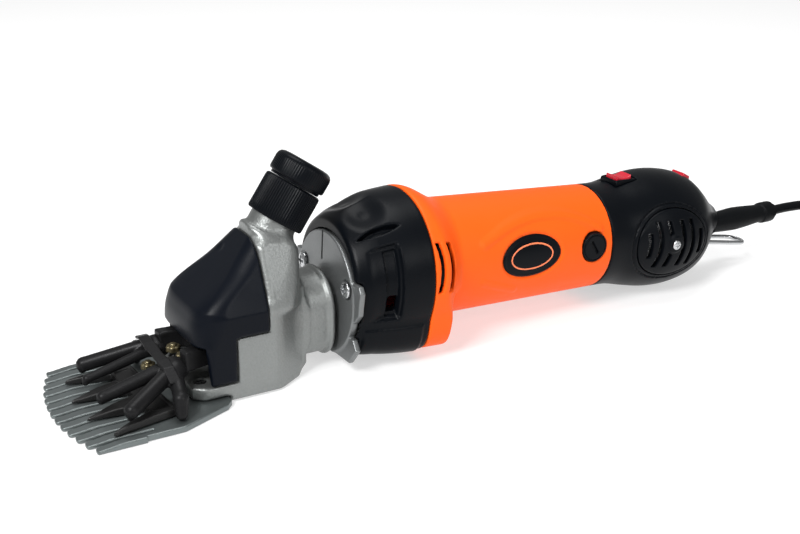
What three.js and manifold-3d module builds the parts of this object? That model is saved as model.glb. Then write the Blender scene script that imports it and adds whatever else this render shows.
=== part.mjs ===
// Electric sheep shears: a shearing head with comb and cutter, a crank gearbox,
// a hand-held motor body and a mains lead. Millimetres, +Z up, standing on its
// comb and on the belly of the rear housing.
//
// X runs from the comb tips towards the lead, Y to the tool's left side.
// The working frame has X = 0 at the middle comb tip; the whole assembly is
// moved at the end so that the origin lies under the middle of the tool.

import * as THREE from 'three';
import { mergeVertices } from 'three/addons/utils/BufferGeometryUtils.js';
import Module from 'manifold-3d';

const wasm = await Module();
wasm.setup();

// ---------------------------------------------------------------- dimensions

const GAP = 0.3;                    // between touching pieces
const TOOL_LENGTH = 363.0;          // comb tip to the end of the hang loop

// Comb and cutter
const COMB_TEETH = 13;
const COMB_HALF_WIDTH = 38.3;       // 76.6 mm wide over the outer teeth
const COMB_THICK = 2.6;
const TIP_SAG = 8.4;                // how far the outer tips lie behind the middle one
const TOOTH_ROOT_X = 31;
const COMB_REAR_X = 66;
const COMB_SCREW_X = 57;
const COMB_SCREW_Y = 14;
const CUTTER_TEETH = 4;
const CUTTER_PITCH = 17.4;
const CUTTER_THICK = 3;
const CUTTER_TIP_X = 8.6;
const CUTTER_REAR_X = 41;

// Fork and its fulcrum
const FULCRUM_X = 88;
const FORK_LOW = 15;
const FORK_HIGH = 23.5;
const SWING = THREE.MathUtils.degToRad(5.0);   // the fork stands this far to the right
const POST_RADIUS = 3;

// Shearing head
const HEAD_HALF_WIDTH = 24;
const HEAD_FLOOR = 8.4;
const HEAD_BACK_X = 105.2;
const NECK_HALF_WIDTH = 14.2;
const NECK_TOP = 40;
const COVER_WALL = 2.2;

// Tension knob: axis leans back from the vertical
const KNOB_LEAN = THREE.MathUtils.degToRad(34.8);
const KNOB_SEAT = new THREE.Vector3(97.7, 0, 65.6);
const KNOB_RADIUS = 12.2;
const KNOB_SKIRT = 16.4;
const KNOB_HEIGHT = 27.5;
const THREAD_RADIUS = 10;

// Motor axis: slopes down to the rear, so that the belly touches the ground
const PITCH = THREE.MathUtils.degToRad(3.3);
const AXIS_X = 160;                 // where the positions along the motor axis start
const BELLY_S = 134;                // the rear bulge, along the motor axis
const BELLY_RADIUS = 29.2;
const AXIS_Z = BELLY_RADIUS / Math.cos(PITCH) + BELLY_S * Math.sin(PITCH)
  - BELLY_RADIUS * Math.sin(PITCH) * Math.tan(PITCH);

// Stations along the motor axis
const PLATE_S = -40;
const SPLIT_S = -5;                 // gear housing to motor housing
const MOTOR_END_S = 96;             // motor housing to rear housing
const TAIL_S = 178;
const COLLAR_H = -1.6;              // the flared collar's centre and radius
const COLLAR_RADIUS = 34.9;
const PLATE_CENTRE = -10.3;         // height of the plate's centre from the motor axis
const PLATE_RADIUS = 27.8;
const PLATE_THICK = 3.4;

// Gear train
const MODULE = 0.75;
const PINION_TEETH = 9;
const GEAR_TEETH = 36;
const CRANK_H = -MODULE * (PINION_TEETH + GEAR_TEETH) / 2;
const CRANK_THROW = 2.4;
const CRANK_ANGLE = THREE.MathUtils.degToRad(60);
const GEAR_S = -36;
const GEAR_WIDTH = 5;

// Motor
const STATOR_START = 8;
const STATOR_END = 58;
const BRUSH_S = 85;
const BRUSH_CAP_H = 2.8;            // the caps sit above the motor axis
const SHAFT_RADIUS = 4;

// Rear housing: side vents and hang loop
const VENT_S = 131;
const VENT_Y = 24.4;
const LOOP_S = 168.5;
const LOOP_H = -10.5;
const LOOP_LENGTH = 35;
const LOOP_DROP = THREE.MathUtils.degToRad(7);    // the loop hangs this far below the motor axis

// Lead: 2.5 mm in radius, five columns of three turns in the coil
const CORD_RADIUS = 2.5;
const BOOT_Z = 23.2;
const BOOT_START = 338.6;
const BOOT_END = 383.4;
const COIL_CENTRE = new THREE.Vector3(462, -36, 0);
const COIL_INNER = 17.3;
const COIL_OUTER = 43.1;
const COIL_HEIGHT = 15.5;
const PLUG_X = COIL_CENTRE.x - 44;  // where the lead meets the plug

// ------------------------------------------------------------------ materials

function finish(color, roughness, metalness) {
  return { color, roughness, metalness };
}
const CAST = finish(0x8c9292, 0.45, 0.8);
const STEEL = finish(0x9a9c9e, 0.3, 0.9);
const BLACK_STEEL = finish(0x26272a, 0.4, 0.7);
const BLACK = finish(0x14181c, 0.5, 0.0);
const ORANGE = finish(0xff7320, 0.45, 0.0);
const RED = finish(0xc82332, 0.35, 0.0);
const RUBBER = finish(0x121416, 0.7, 0.0);
const COPPER = finish(0xb87333, 0.35, 0.9);
const CARBON = finish(0x2a2a2c, 0.8, 0.1);

// -------------------------------------------------------------------- helpers

const pt = (x, y) => new THREE.Vector2(x, y);
const v3 = (x, y, z) => new THREE.Vector3(x, y, z);

function signedVolume(geometry) {
  const p = geometry.attributes.position;
  const index = geometry.index;
  const a = v3(), b = v3(), c = v3();
  let sum = 0;
  for (let i = 0; i < index.count; i += 3) {
    a.fromBufferAttribute(p, index.getX(i));
    b.fromBufferAttribute(p, index.getX(i + 1));
    c.fromBufferAttribute(p, index.getX(i + 2));
    sum += a.dot(b.cross(c)) / 6;
  }
  return sum;
}

// Any closed geometry as a solid, with its faces turned outwards.
function solid(geometry) {
  const bare = geometry.clone();
  bare.deleteAttribute('normal');
  bare.deleteAttribute('uv');
  const merged = mergeVertices(bare, 1e-4);
  const triangles = Uint32Array.from(merged.index.array);
  if (signedVolume(merged) < 0) {
    for (let i = 0; i < triangles.length; i += 3) {
      [triangles[i + 1], triangles[i + 2]] = [triangles[i + 2], triangles[i + 1]];
    }
  }
  const mesh = new wasm.Mesh({
    numProp: 3,
    vertProperties: Float32Array.from(merged.attributes.position.array),
    triVerts: triangles,
  });
  mesh.merge();
  return new wasm.Manifold(mesh);
}

function geometryOf(manifold) {
  const mesh = manifold.getMesh();
  const geometry = new THREE.BufferGeometry();
  geometry.setAttribute('position', new THREE.BufferAttribute(Float32Array.from(mesh.vertProperties), 3));
  geometry.setIndex(Array.from(mesh.triVerts));
  geometry.computeVertexNormals();
  return geometry;
}

function join(...solids) {
  return solids.reduce((sum, next) => sum.add(next));
}

function piece(name, shape, look) {
  const manifold = shape.isBufferGeometry ? solid(shape) : shape;
  const mesh = new THREE.Mesh(geometryOf(manifold), new THREE.MeshStandardMaterial(look));
  mesh.name = name;
  return mesh;
}

// Outline in plan, from height z0 up to z1.
function plan(points, z0, z1, holes = []) {
  const shape = new THREE.Shape(points.map(([x, y]) => pt(x, y)));
  holes.forEach((hole) => shape.holes.push(new THREE.Path(hole.map(([x, y]) => pt(x, y)))));
  const geometry = new THREE.ExtrudeGeometry(shape, { depth: z1 - z0, bevelEnabled: false });
  return geometry.translate(0, 0, z0);
}

// Outline in the side view (x, z), from y0 to y1.
function side(points, y0, y1) {
  const geometry = plan(points, 0, y1 - y0);
  return geometry.rotateX(Math.PI / 2).translate(0, y1, 0);
}

// Outline in the front view (y, z), from x0 to x1.
function front(points, x0, x1) {
  const turn = new THREE.Matrix4().makeBasis(v3(0, 1, 0), v3(0, 0, 1), v3(1, 0, 0));
  return plan(points, 0, x1 - x0).applyMatrix4(turn).translate(x0, 0, 0);
}

// Round piece about X: profile points are (station along X, radius).
function turned(profile, segments = 28, height = 0) {
  const points = profile.map(([s, r]) => pt(r, s));
  const geometry = new THREE.LatheGeometry(points, segments);
  return geometry.rotateZ(-Math.PI / 2).translate(0, 0, height);
}

function ring(s0, s1, inner, outer, segments = 28, height = 0) {
  return turned([[s0, inner], [s1, inner], [s1, outer], [s0, outer], [s0, inner]], segments, height);
}

function rod(s0, s1, radius, segments = 20, height = 0) {
  return turned([[s0, 0], [s0, radius], [s1, radius], [s1, 0]], segments, height);
}

function box(x0, x1, y0, y1, z0, z1) {
  return plan([[x0, y0], [x1, y0], [x1, y1], [x0, y1]], z0, z1);
}

// Straight round bar between two points.
function bar(from, to, radius, endRadius = radius, segments = 10) {
  const along = to.clone().sub(from);
  const geometry = new THREE.CylinderGeometry(endRadius, radius, along.length(), segments);
  const turn = new THREE.Quaternion().setFromUnitVectors(v3(0, 1, 0), along.clone().normalize());
  return geometry.applyQuaternion(turn).translate(...from.clone().add(to).multiplyScalar(0.5).toArray());
}

// Bar of round section along a curve.
function tube(points, radius, steps, sides = 8) {
  const section = new THREE.Shape();
  for (let i = 0; i < sides; i++) {
    const angle = (2 * Math.PI * i) / sides;
    const x = radius * Math.cos(angle);
    const y = radius * Math.sin(angle);
    if (i === 0) section.moveTo(x, y);
    else section.lineTo(x, y);
  }
  section.closePath();
  const path = new THREE.CatmullRomCurve3(points, false, 'centripetal');
  return new THREE.ExtrudeGeometry(section, { steps, extrudePath: path, bevelEnabled: false });
}

// Hollow skin through round sections {s, h, r}: the outer ones run forwards, the inner
// ones back, and the last joins the first.
function skin(sections, segments = 24) {
  const positions = [];
  const index = [];
  sections.forEach(({ s, h, r }) => {
    for (let i = 0; i < segments; i++) {
      const angle = (2 * Math.PI * i) / segments;
      positions.push(s, r * Math.cos(angle), h + r * Math.sin(angle));
    }
  });
  const count = sections.length;
  for (let k = 0; k < count; k++) {
    const next = (k + 1) % count;
    for (let i = 0; i < segments; i++) {
      const j = (i + 1) % segments;
      const corners = [k * segments + i, k * segments + j, next * segments + j, next * segments + i];
      index.push(corners[0], corners[1], corners[2], corners[0], corners[2], corners[3]);
    }
  }
  const geometry = new THREE.BufferGeometry();
  geometry.setAttribute('position', new THREE.Float32BufferAttribute(positions, 3));
  geometry.setAttribute('normal', new THREE.Float32BufferAttribute(new Float32Array(positions.length), 3));
  geometry.setAttribute('uv', new THREE.Float32BufferAttribute(new Float32Array(positions.length / 1.5), 2));
  geometry.setIndex(index);
  return geometry;
}

// Spur gear outline about the origin, with one tooth centred on `phase`.
function gearOutline(teeth, phase) {
  const pitchRadius = (MODULE * teeth) / 2;
  const root = pitchRadius - 1.2 * MODULE;
  const tip = pitchRadius + 0.8 * MODULE;
  const pitch = (2 * Math.PI) / teeth;
  const corners = [[-0.3, root], [-0.1, tip], [0.1, tip], [0.3, root]];
  const points = [];
  for (let i = 0; i < teeth; i++) {
    corners.forEach(([offset, radius]) => {
      const angle = phase + (i + offset) * pitch;
      points.push([radius * Math.cos(angle), radius * Math.sin(angle)]);
    });
  }
  return points;
}

// --------------------------------------------------------------- frame groups

const assembly = new THREE.Group();          // moved so that the origin is under the middle
const tool = new THREE.Group();
assembly.add(tool);

const drive = new THREE.Group();             // along the motor axis
drive.position.set(AXIS_X, 0, AXIS_Z);
drive.rotation.y = PITCH;
tool.add(drive);

const swing = new THREE.Group();             // what moves with the fork
swing.position.set(FULCRUM_X, 0, 0);
swing.rotation.z = SWING;
tool.add(swing);

const knobAxis = new THREE.Group();          // z along the knob's axis, from its seat
knobAxis.position.copy(KNOB_SEAT);
knobAxis.rotation.y = KNOB_LEAN;
tool.add(knobAxis);

// A solid made in the drive's or the knob's frame, brought into the tool's frame.
function inTool(geometry, group) {
  group.updateMatrix();
  return geometry.applyMatrix4(group.matrix);
}

// ------------------------------------------------------------ comb and cutter

function combOutline() {
  const pitch = (2 * (COMB_HALF_WIDTH - 1.6)) / (COMB_TEETH - 1);
  const points = [];
  const tipX = (y) => TIP_SAG * (y / COMB_HALF_WIDTH) ** 2;
  for (let i = 0; i < COMB_TEETH; i++) {
    const y = -COMB_HALF_WIDTH + 1.6 + i * pitch;
    points.push([TOOTH_ROOT_X, y - 1.6], [tipX(y) + 1.2, y - 1.4], [tipX(y), y - 0.6]);
    points.push([tipX(y), y + 0.6], [tipX(y) + 1.2, y + 1.4], [TOOTH_ROOT_X, y + 1.6]);
  }
  points.push([42, COMB_HALF_WIDTH - 0.6], [63, 28.5], [COMB_REAR_X, 25]);
  points.push([COMB_REAR_X, -25], [63, -28.5], [42, -COMB_HALF_WIDTH + 0.6]);
  return points;
}

function slotOutline(y, halfWidth) {
  const points = [[COMB_REAR_X + 1, y - halfWidth]];
  for (let i = 0; i <= 6; i++) {
    const angle = -Math.PI / 2 - (Math.PI * i) / 6;
    points.push([COMB_SCREW_X - 3 + halfWidth * Math.cos(angle), y + halfWidth * Math.sin(angle)]);
  }
  points.push([COMB_REAR_X + 1, y + halfWidth]);
  return points.reverse();
}

function makeComb() {
  let comb = solid(plan(combOutline(), 0, COMB_THICK));
  for (const y of [-COMB_SCREW_Y, COMB_SCREW_Y]) {
    comb = comb.subtract(solid(plan(slotOutline(y, 2.8), -1, COMB_THICK + 1)));
    comb = comb.subtract(solid(plan(slotOutline(y, 5.4), -1, 1.4)));
  }
  tool.add(piece('comb', comb, STEEL));
}

function makeCombScrew(name, y) {
  const profile = [pt(0, 0.3), pt(5, 0.3), pt(5, 1.1), pt(2.4, 1.1), pt(2.4, 7.6), pt(0, 7.6)];
  const screw = new THREE.LatheGeometry(profile, 16).rotateX(Math.PI / 2);
  tool.add(piece(name, screw.translate(COMB_SCREW_X, y, 0), STEEL));
}

// Positions in the swinging group are measured from the fulcrum.
const fromFulcrum = (x) => x - FULCRUM_X;

function makeCutter() {
  const half = (CUTTER_TEETH - 1) / 2;
  const points = [];
  for (let i = 0; i < CUTTER_TEETH; i++) {
    const y = (i - half) * CUTTER_PITCH;
    const tip = CUTTER_TIP_X + 4.2 * (Math.abs(i - half) / half) ** 2;
    const root = y * 0.94;
    if (i > 0) points.push([fromFulcrum(30), root - 5.6]);
    points.push([fromFulcrum(tip + 1), y - 0.7], [fromFulcrum(tip), y]);
    points.push([fromFulcrum(tip + 1), y + 0.7]);
    if (i < CUTTER_TEETH - 1) points.push([fromFulcrum(30), root + 5.6]);
  }
  points.push([fromFulcrum(CUTTER_REAR_X), 24], [fromFulcrum(CUTTER_REAR_X), -24]);
  const low = COMB_THICK + GAP;
  swing.add(piece('cutter', plan(points, low, low + CUTTER_THICK), BLACK_STEEL));
}

// ------------------------------------------------------ fork, feet, fulcrum

const CUTTER_TOP = COMB_THICK + GAP + CUTTER_THICK;
const FOOT_X = 44;
const FOOT_Y = 12;

function makeFork() {
  const half = [[113, 7.2], [113, 9], [97, 9.4], [92, 8.4], [84, 8.4], [76, 6.4], [66, 7.4], [60, 13.4],
    [48.6, 15.4], [48.6, 9.2], [58, 7.8], [61, 4.2], [61, 0]];
  const slot = [[98, 0], [98, 5], [100.2, 7.2]];
  const left = [...slot, ...half].map(([x, y]) => [fromFulcrum(x), y]);
  const right = left.slice(1, -1).map(([x, y]) => [x, -y]).reverse();
  const hole = [];
  for (let i = 0; i < 16; i++) {
    const angle = (2 * Math.PI * i) / 16;
    hole.push([(POST_RADIUS + 0.35) * Math.cos(angle), (POST_RADIUS + 0.35) * Math.sin(angle)]);
  }
  const outline = [...left, ...right];
  const blade = solid(plan(outline, FORK_LOW, FORK_HIGH, [hole]));
  const rear = solid(box(fromFulcrum(93.5), fromFulcrum(120), -20, 20, 0, 40));
  const tail = solid(plan(outline, FORK_LOW, 28)).intersect(rear);
  swing.add(piece('fork', blade.add(tail), BLACK_STEEL));
  const cup = [pt(0, FORK_HIGH + GAP), pt(4.6, FORK_HIGH + GAP), pt(4.6, 26), pt(3.4, 27.6), pt(0, 27.6)];
  const cupShape = new THREE.LatheGeometry(cup, 16).rotateX(Math.PI / 2);
  swing.add(piece('tension_cup', cupShape.translate(fromFulcrum(73), 0, 0), STEEL));
}

// A foot has two fingers that press on two cutter teeth, and a rear toe.
function makeFoot(name, sign) {
  const hub = v3(fromFulcrum(FOOT_X), sign * FOOT_Y, 16);
  const rest = CUTTER_TOP + GAP;
  const parts = [solid(new THREE.SphereGeometry(4.4, 10, 6).translate(...hub.toArray()))];
  const ends = [[20, 0.45 * CUTTER_PITCH], [22, 1.4 * CUTTER_PITCH]];
  ends.forEach(([x, y]) => {
    const end = v3(fromFulcrum(x), sign * y, rest + 3.6);
    const middle = hub.clone().lerp(end, 0.55).add(v3(0, 0, 2.2));
    parts.push(solid(tube([hub, middle, end], 2.6, 4, 8)));
    parts.push(solid(bar(end, v3(end.x - 0.8, end.y, rest), 2.5, 1.5, 8)));
  });
  const toe = v3(fromFulcrum(42), sign * 22, rest + 3.2);
  parts.push(solid(bar(hub, toe, 3, 2.4, 8)));
  parts.push(solid(bar(v3(toe.x, toe.y, rest + 5), v3(toe.x, toe.y, rest), 2.6, 2.6, 8)));
  parts.push(solid(bar(hub, v3(fromFulcrum(47), hub.y, 17), 3, 3, 8)));
  swing.add(piece(name, join(...parts), BLACK_STEEL));
}

function makeFingerClip() {
  const points = [[-17.5, 22.4], [-12, 21.5], [12, 21.5], [17.5, 22.4], [17.5, 23.6], [12, 22.7], [-12, 22.7],
    [-17.5, 23.6]];
  const clip = front(points, fromFulcrum(FOOT_X) - 2.6, fromFulcrum(FOOT_X) + 2.6);
  swing.add(piece('finger_spring_clip', clip, BLACK_STEEL));
}

function makeFulcrumPost() {
  const profile = [pt(0, HEAD_FLOOR + GAP), pt(6, HEAD_FLOOR + GAP), pt(6, FORK_LOW - 0.5),
    pt(POST_RADIUS, FORK_LOW - 0.5), pt(POST_RADIUS, 27), pt(0, 27)];
  const post = new THREE.LatheGeometry(profile, 20).rotateX(Math.PI / 2);
  tool.add(piece('fulcrum_post', post.translate(FULCRUM_X, 0, 0), STEEL));
}

// ------------------------------------------------------------- shearing head

const HEAD_SLOPE = [[-HEAD_HALF_WIDTH, 0], [HEAD_HALF_WIDTH, 0], [HEAD_HALF_WIDTH, 36.5], [12.2, 62.5],
  [-12.2, 62.5], [-HEAD_HALF_WIDTH, 36.5]];

function makeHeadCasting() {
  const base = [[51.5, -19], [57, -HEAD_HALF_WIDTH], [87, -HEAD_HALF_WIDTH], [102, -NECK_HALF_WIDTH],
    [116.6, -NECK_HALF_WIDTH], [116.6, NECK_HALF_WIDTH], [102, NECK_HALF_WIDTH], [87, HEAD_HALF_WIDTH],
    [57, HEAD_HALF_WIDTH], [51.5, 19]];
  const baseSide = [[50, COMB_THICK + GAP], [COMB_REAR_X + GAP, COMB_THICK + GAP], [COMB_REAR_X + GAP, 0.4],
    [100, 0.4], [104, 5], [118, 5], [118, NECK_TOP], [70, NECK_TOP], [70, HEAD_FLOOR], [50, HEAD_FLOOR]];
  let head = solid(plan(base, 0, NECK_TOP)).intersect(solid(side(baseSide, -30, 30)));
  const shoulder = [];
  for (let i = 0; i <= 8; i++) {
    const angle = -Math.PI / 2 + (Math.PI * i) / 8;
    shoulder.push([88 + (HEAD_BACK_X - 88) * Math.cos(angle), HEAD_HALF_WIDTH * Math.sin(angle)]);
  }
  const towerPlan = [[84.3, HEAD_HALF_WIDTH], [84.3, -HEAD_HALF_WIDTH], ...shoulder];
  const towerSide = [[84, 20], [108, 20], [108, 54], [98, 62.5], [88, 62.5], [84.3, 60]];
  const tower = solid(plan(towerPlan, 20, 64)).intersect(solid(side(towerSide, -30, 30)));
  head = head.add(tower).intersect(solid(front(HEAD_SLOPE, 40, 130)));
  head = head.add(solid(inTool(threadedNeck(), knobAxis)));
  // The front cover takes the place of the casting's front and upper part.
  head = head.subtract(solid(box(40, 84.3, -30, 30, 27, 70)));
  // Room for the fork, the crank and the tension pin
  const room = [[40, -19.5], [84, -19.5], [98, -12], [114.6, -12], [114.6, 12], [98, 12], [84, 19.5], [40, 19.5]];
  head = head.subtract(solid(plan(room, HEAD_FLOOR, 33)));
  head = head.subtract(solid(inTool(rod(-50, -38, 8.3, 24, CRANK_H), drive)));
  head = head.subtract(solid(inTool(knobBore(), knobAxis)));
  for (const y of [-COMB_SCREW_Y, COMB_SCREW_Y]) {
    const hole = new THREE.CylinderGeometry(2.7, 2.7, 12, 12).rotateX(Math.PI / 2);
    head = head.subtract(solid(hole.translate(COMB_SCREW_X, y, 2)));
  }
  tool.add(piece('head_casting', head, CAST));
}

// In the knob's frame: z from the lower rim of the knob
function threadedNeck() {
  const profile = [pt(0, -30), pt(11, -30), pt(11, -8), pt(THREAD_RADIUS, -6), pt(THREAD_RADIUS, 12),
    pt(0, 12)];
  return new THREE.LatheGeometry(profile, 24).rotateX(Math.PI / 2);
}

function knobBore() {
  const profile = [pt(0, -60), pt(3.2, -60), pt(3.2, -11), pt(7, -11), pt(7, 13), pt(0, 13)];
  return new THREE.LatheGeometry(profile, 20).rotateX(Math.PI / 2);
}

function makeFrontCover() {
  const outer = [[84, 61.9], [62, 38.8], [57.2, 25], [58.5, 8.7], [69.7, 8.7], [69.7, 27.3], [84, 27.3]];
  const inner = [[84.5, 58.6], [64.6, 38], [60, 25], [50, 25], [50, 5], [90, 5], [90, 58.6]];
  const w = HEAD_HALF_WIDTH + 0.2;
  const slope = [[-w, 0], [w, 0], [w, 36.5], [12.6, 62.5], [-12.6, 62.5], [-w, 36.5]];
  const wi = w - COVER_WALL;
  const slopeIn = [[-wi, 0], [wi, 0], [wi, 36], [10.6, 60.2], [-10.6, 60.2], [-wi, 36]];
  let cover = solid(side(outer, -30, 30)).intersect(solid(front(slope, 40, 130)));
  cover = cover.subtract(solid(side(inner, -30, 30)).intersect(solid(front(slopeIn, 40, 130))));
  tool.add(piece('front_cover', cover, BLACK));
}

// ------------------------------------------------------------- tension gear

function makeTension() {
  const pinProfile = [pt(0, -45), pt(1.5, -44.5), pt(2.4, -43.2), pt(2.6, -42), pt(2.6, -9.4), pt(6, -9.4),
    pt(6, -8), pt(2, -8), pt(2, 6), pt(0, 6)];
  const pin = new THREE.LatheGeometry(pinProfile, 16).rotateX(Math.PI / 2);
  knobAxis.add(piece('tension_pin', pin, STEEL));
  const turns = 4;
  const steps = 8;
  const coil = [];
  for (let i = 0; i <= turns * steps; i++) {
    const angle = (2 * Math.PI * i) / steps;
    coil.push(v3(4.7 * Math.cos(angle), 4.7 * Math.sin(angle), -6.7 + (19 * i) / (turns * steps)));
  }
  knobAxis.add(piece('tension_spring', tube(coil, 0.8, turns * steps, 5), STEEL));
  const bore = THREAD_RADIUS + 0.4;
  const skirt = [pt(bore, 0), pt(KNOB_RADIUS, 0), pt(KNOB_RADIUS, KNOB_SKIRT), pt(0, KNOB_SKIRT), pt(0, 13.6),
    pt(bore, 13.6), pt(bore, 0)];
  knobAxis.add(piece('tension_knob', new THREE.LatheGeometry(skirt, 24).rotateX(Math.PI / 2), BLACK));
  const z = KNOB_SKIRT + GAP;
  const cap = [pt(0, z), pt(10.9, z), pt(10.9, 19.3), pt(KNOB_RADIUS, 19.3), pt(KNOB_RADIUS, 24.4),
    pt(11.4, 26.2), pt(9.6, 27.1), pt(0, KNOB_HEIGHT)];
  knobAxis.add(piece('tension_knob_cap', new THREE.LatheGeometry(cap, 24).rotateX(Math.PI / 2), BLACK));
}

// -------------------------------------------------------- gearbox and housings

function makeCrank() {
  const shaft = solid(turned([[-43.4, 0], [-43.4, 4], [-25.6, 4], [-25.6, 0]], 20, CRANK_H));
  const web = solid(turned([[-45.2, 0], [-45.2, 6.4], [-43.2, 6.4], [-43.2, 0]], 20, CRANK_H));
  const y = CRANK_THROW * Math.sin(CRANK_ANGLE);
  const h = CRANK_H + CRANK_THROW * Math.cos(CRANK_ANGLE);
  const pin = solid(rod(-52, -45, 2, 14).translate(0, y, h));
  drive.add(piece('crankshaft', join(shaft, web, pin), STEEL));
  const outline = gearOutline(GEAR_TEETH, Math.PI / 2 + Math.PI / GEAR_TEETH);
  let gear = solid(front(outline, GEAR_S, GEAR_S + GEAR_WIDTH).translate(0, 0, CRANK_H));
  gear = gear.subtract(solid(rod(GEAR_S - 1, GEAR_S + GEAR_WIDTH + 1, 4 + GAP, 20, CRANK_H)));
  drive.add(piece('crank_gear', gear, STEEL));
  drive.add(piece('crank_bearing_front', ring(-42.6, -37, 4.3, 8, 24, CRANK_H), STEEL));
  drive.add(piece('crank_bearing_rear', ring(-30.3, -26.3, 4.3, 8, 24, CRANK_H), STEEL));
}

function platePoints() {
  const points = [];
  const count = 32;
  for (let i = 0; i < count; i++) {
    const angle = (2 * Math.PI * i) / count;
    const height = Math.max(PLATE_CENTRE + PLATE_RADIUS * Math.sin(angle), -34.4);
    points.push([PLATE_RADIUS * Math.cos(angle), height]);
  }
  return points;
}

function makeGearPlate() {
  let plate = solid(front(platePoints(), PLATE_S, PLATE_S + PLATE_THICK));
  for (const sign of [-1, 1]) {
    const ear = [[sign * 20, 6], [sign * 31.4, 3], [sign * 31, -11], [sign * 22, -17]];
    const lug = [[14, -24], [27, -23], [29.4, -27], [23, -34], [10, -34.6]].map(([y, h]) => [sign * y, h]);
    for (const outline of [ear, lug]) {
      const points = sign < 0 ? outline : outline.slice().reverse();
      plate = plate.add(solid(front(points, PLATE_S, PLATE_S + PLATE_THICK)));
    }
    const hole = rod(PLATE_S - 1, PLATE_S + PLATE_THICK + 1, 2, 12).translate(0, sign * 20.5, -2);
    plate = plate.subtract(solid(hole));
  }
  plate = plate.subtract(solid(rod(-45, -30, 8.3, 24, CRANK_H)));
  drive.add(piece('gear_plate', plate, CAST));
}

function makePlateScrew(name, sign) {
  const s = PLATE_S;
  const profile = [[s - 2.6, 0], [s - 2.4, 2.2], [s - GAP, 3.4], [s - GAP, 1.7], [s + 6, 1.7], [s + 6, 0]];
  drive.add(piece(name, turned(profile, 14).translate(0, sign * 20.5, -2), STEEL));
}

function makeGearBracket() {
  let bracket = solid(turned([[-30.6, 0], [-30.6, 26], [-28, 26], [-28, 0]], 32, -6));
  bracket = bracket.add(solid(rod(-28.4, -26, 11, 24, CRANK_H)));
  bracket = bracket.add(solid(rod(-28.4, -25.6, 9.4, 24, 0)));
  bracket = bracket.subtract(solid(rod(-40, -20, 8.3, 24, CRANK_H)));
  bracket = bracket.subtract(solid(rod(-40, -20, 7.3, 24, 0)));
  drive.add(piece('gear_bracket', bracket, CAST));
}

function makeGearHousing() {
  const s0 = PLATE_S + PLATE_THICK + GAP;
  const outer = [{ s: s0, h: -5.2, r: 29.2 }, { s: -28, h: -3.3, r: 32.1 }, { s: -17, h: -2.3, r: 34.1 },
    { s: SPLIT_S - GAP, h: COLLAR_H, r: COLLAR_RADIUS }];
  const inner = outer.map(({ s, h, r }) => ({ s, h, r: r - 2.6 })).reverse();
  let housing = solid(skin([...outer, ...inner]));
  for (const sign of [-1, 1]) {
    const window = box(-28.5, -21, sign > 0 ? 15 : -45, sign > 0 ? 45 : -15, -12, 17);
    housing = housing.subtract(solid(window));
    const hole = rod(-45, -30, 1.9, 12).translate(0, sign * 20.5, -2);
    housing = housing.subtract(solid(hole));
  }
  drive.add(piece('gear_housing', housing, BLACK));
}

function makeMotorHousing() {
  const outer = [{ s: SPLIT_S, h: COLLAR_H, r: COLLAR_RADIUS }, { s: 3, h: COLLAR_H, r: 34.3 },
    { s: 8.5, h: -1, r: 30.2 }, { s: 13.5, h: 0, r: 26.2 }, { s: 40, h: 0, r: 26 },
    { s: MOTOR_END_S, h: 0, r: 24.6 }];
  const inner = outer.map(({ s, h, r }) => ({ s, h, r: r - 2.4 })).reverse();
  let housing = solid(skin([...outer, ...inner]));
  for (const sign of [-1, 1]) {
    const cap = new THREE.CylinderGeometry(7.1, 7.1, 14, 20).translate(BRUSH_S, sign * 27, BRUSH_CAP_H);
    housing = housing.subtract(solid(cap));
    const slots = [0.4, 6.2];
    slots.forEach((s) => {
      const y0 = sign > 0 ? 15 : -45;
      housing = housing.subtract(solid(box(s - 1.2, s + 1.2, y0, y0 + 30, -9, 15)));
    });
  }
  drive.add(piece('motor_housing', housing, ORANGE));
}

function makeRearHousing() {
  const s0 = MOTOR_END_S + GAP;
  const outer = [[s0, 24.6], [107, 24.8], [120, 27.6], [BELLY_S, BELLY_RADIUS], [141, 28.5], [149, 27.4],
    [156, 24.6], [163, 19.4], [169, 14.2], [TAIL_S, 7.3]];
  const inner = outer.slice(0, -1).map(([s, r]) => [s, r - 2.4]);
  const profile = [...outer, [TAIL_S, 4], [175.4, 4], ...inner.reverse(), outer[0]];
  let housing = solid(turned(profile, 24));
  for (const sign of [-1, 1]) {
    const cut = new THREE.CylinderGeometry(16.9, 16.9, 20, 20).scale(1.22, 1, 1);
    housing = housing.subtract(solid(cut.translate(VENT_S, sign * (VENT_Y + 10), 0)));
  }
  housing = housing.subtract(solid(box(109.4, 126.2, -6.3, 6.3, 15, 40)));
  housing = housing.subtract(solid(box(147.6, 158.4, -5, 5, 10, 40)));
  // Block that carries the hang loop's pivot, with a notch for the loop
  housing = housing.add(solid(box(LOOP_S - 3.5, LOOP_S + 2.6, -8.6, 8.6, LOOP_H - 2.6, LOOP_H + 3.4)));
  housing = housing.subtract(solid(box(LOOP_S - 2.2, LOOP_S + 20, -6.6, 6.6, LOOP_H - 12, LOOP_H + 1.6)));
  housing = housing.subtract(solid(bar(v3(LOOP_S, -7.9, LOOP_H), v3(LOOP_S, 7.9, LOOP_H), 1.5, 1.5, 12)));
  drive.add(piece('rear_housing', housing, BLACK));
}

// -------------------------------------------------------------------- motor

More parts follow.
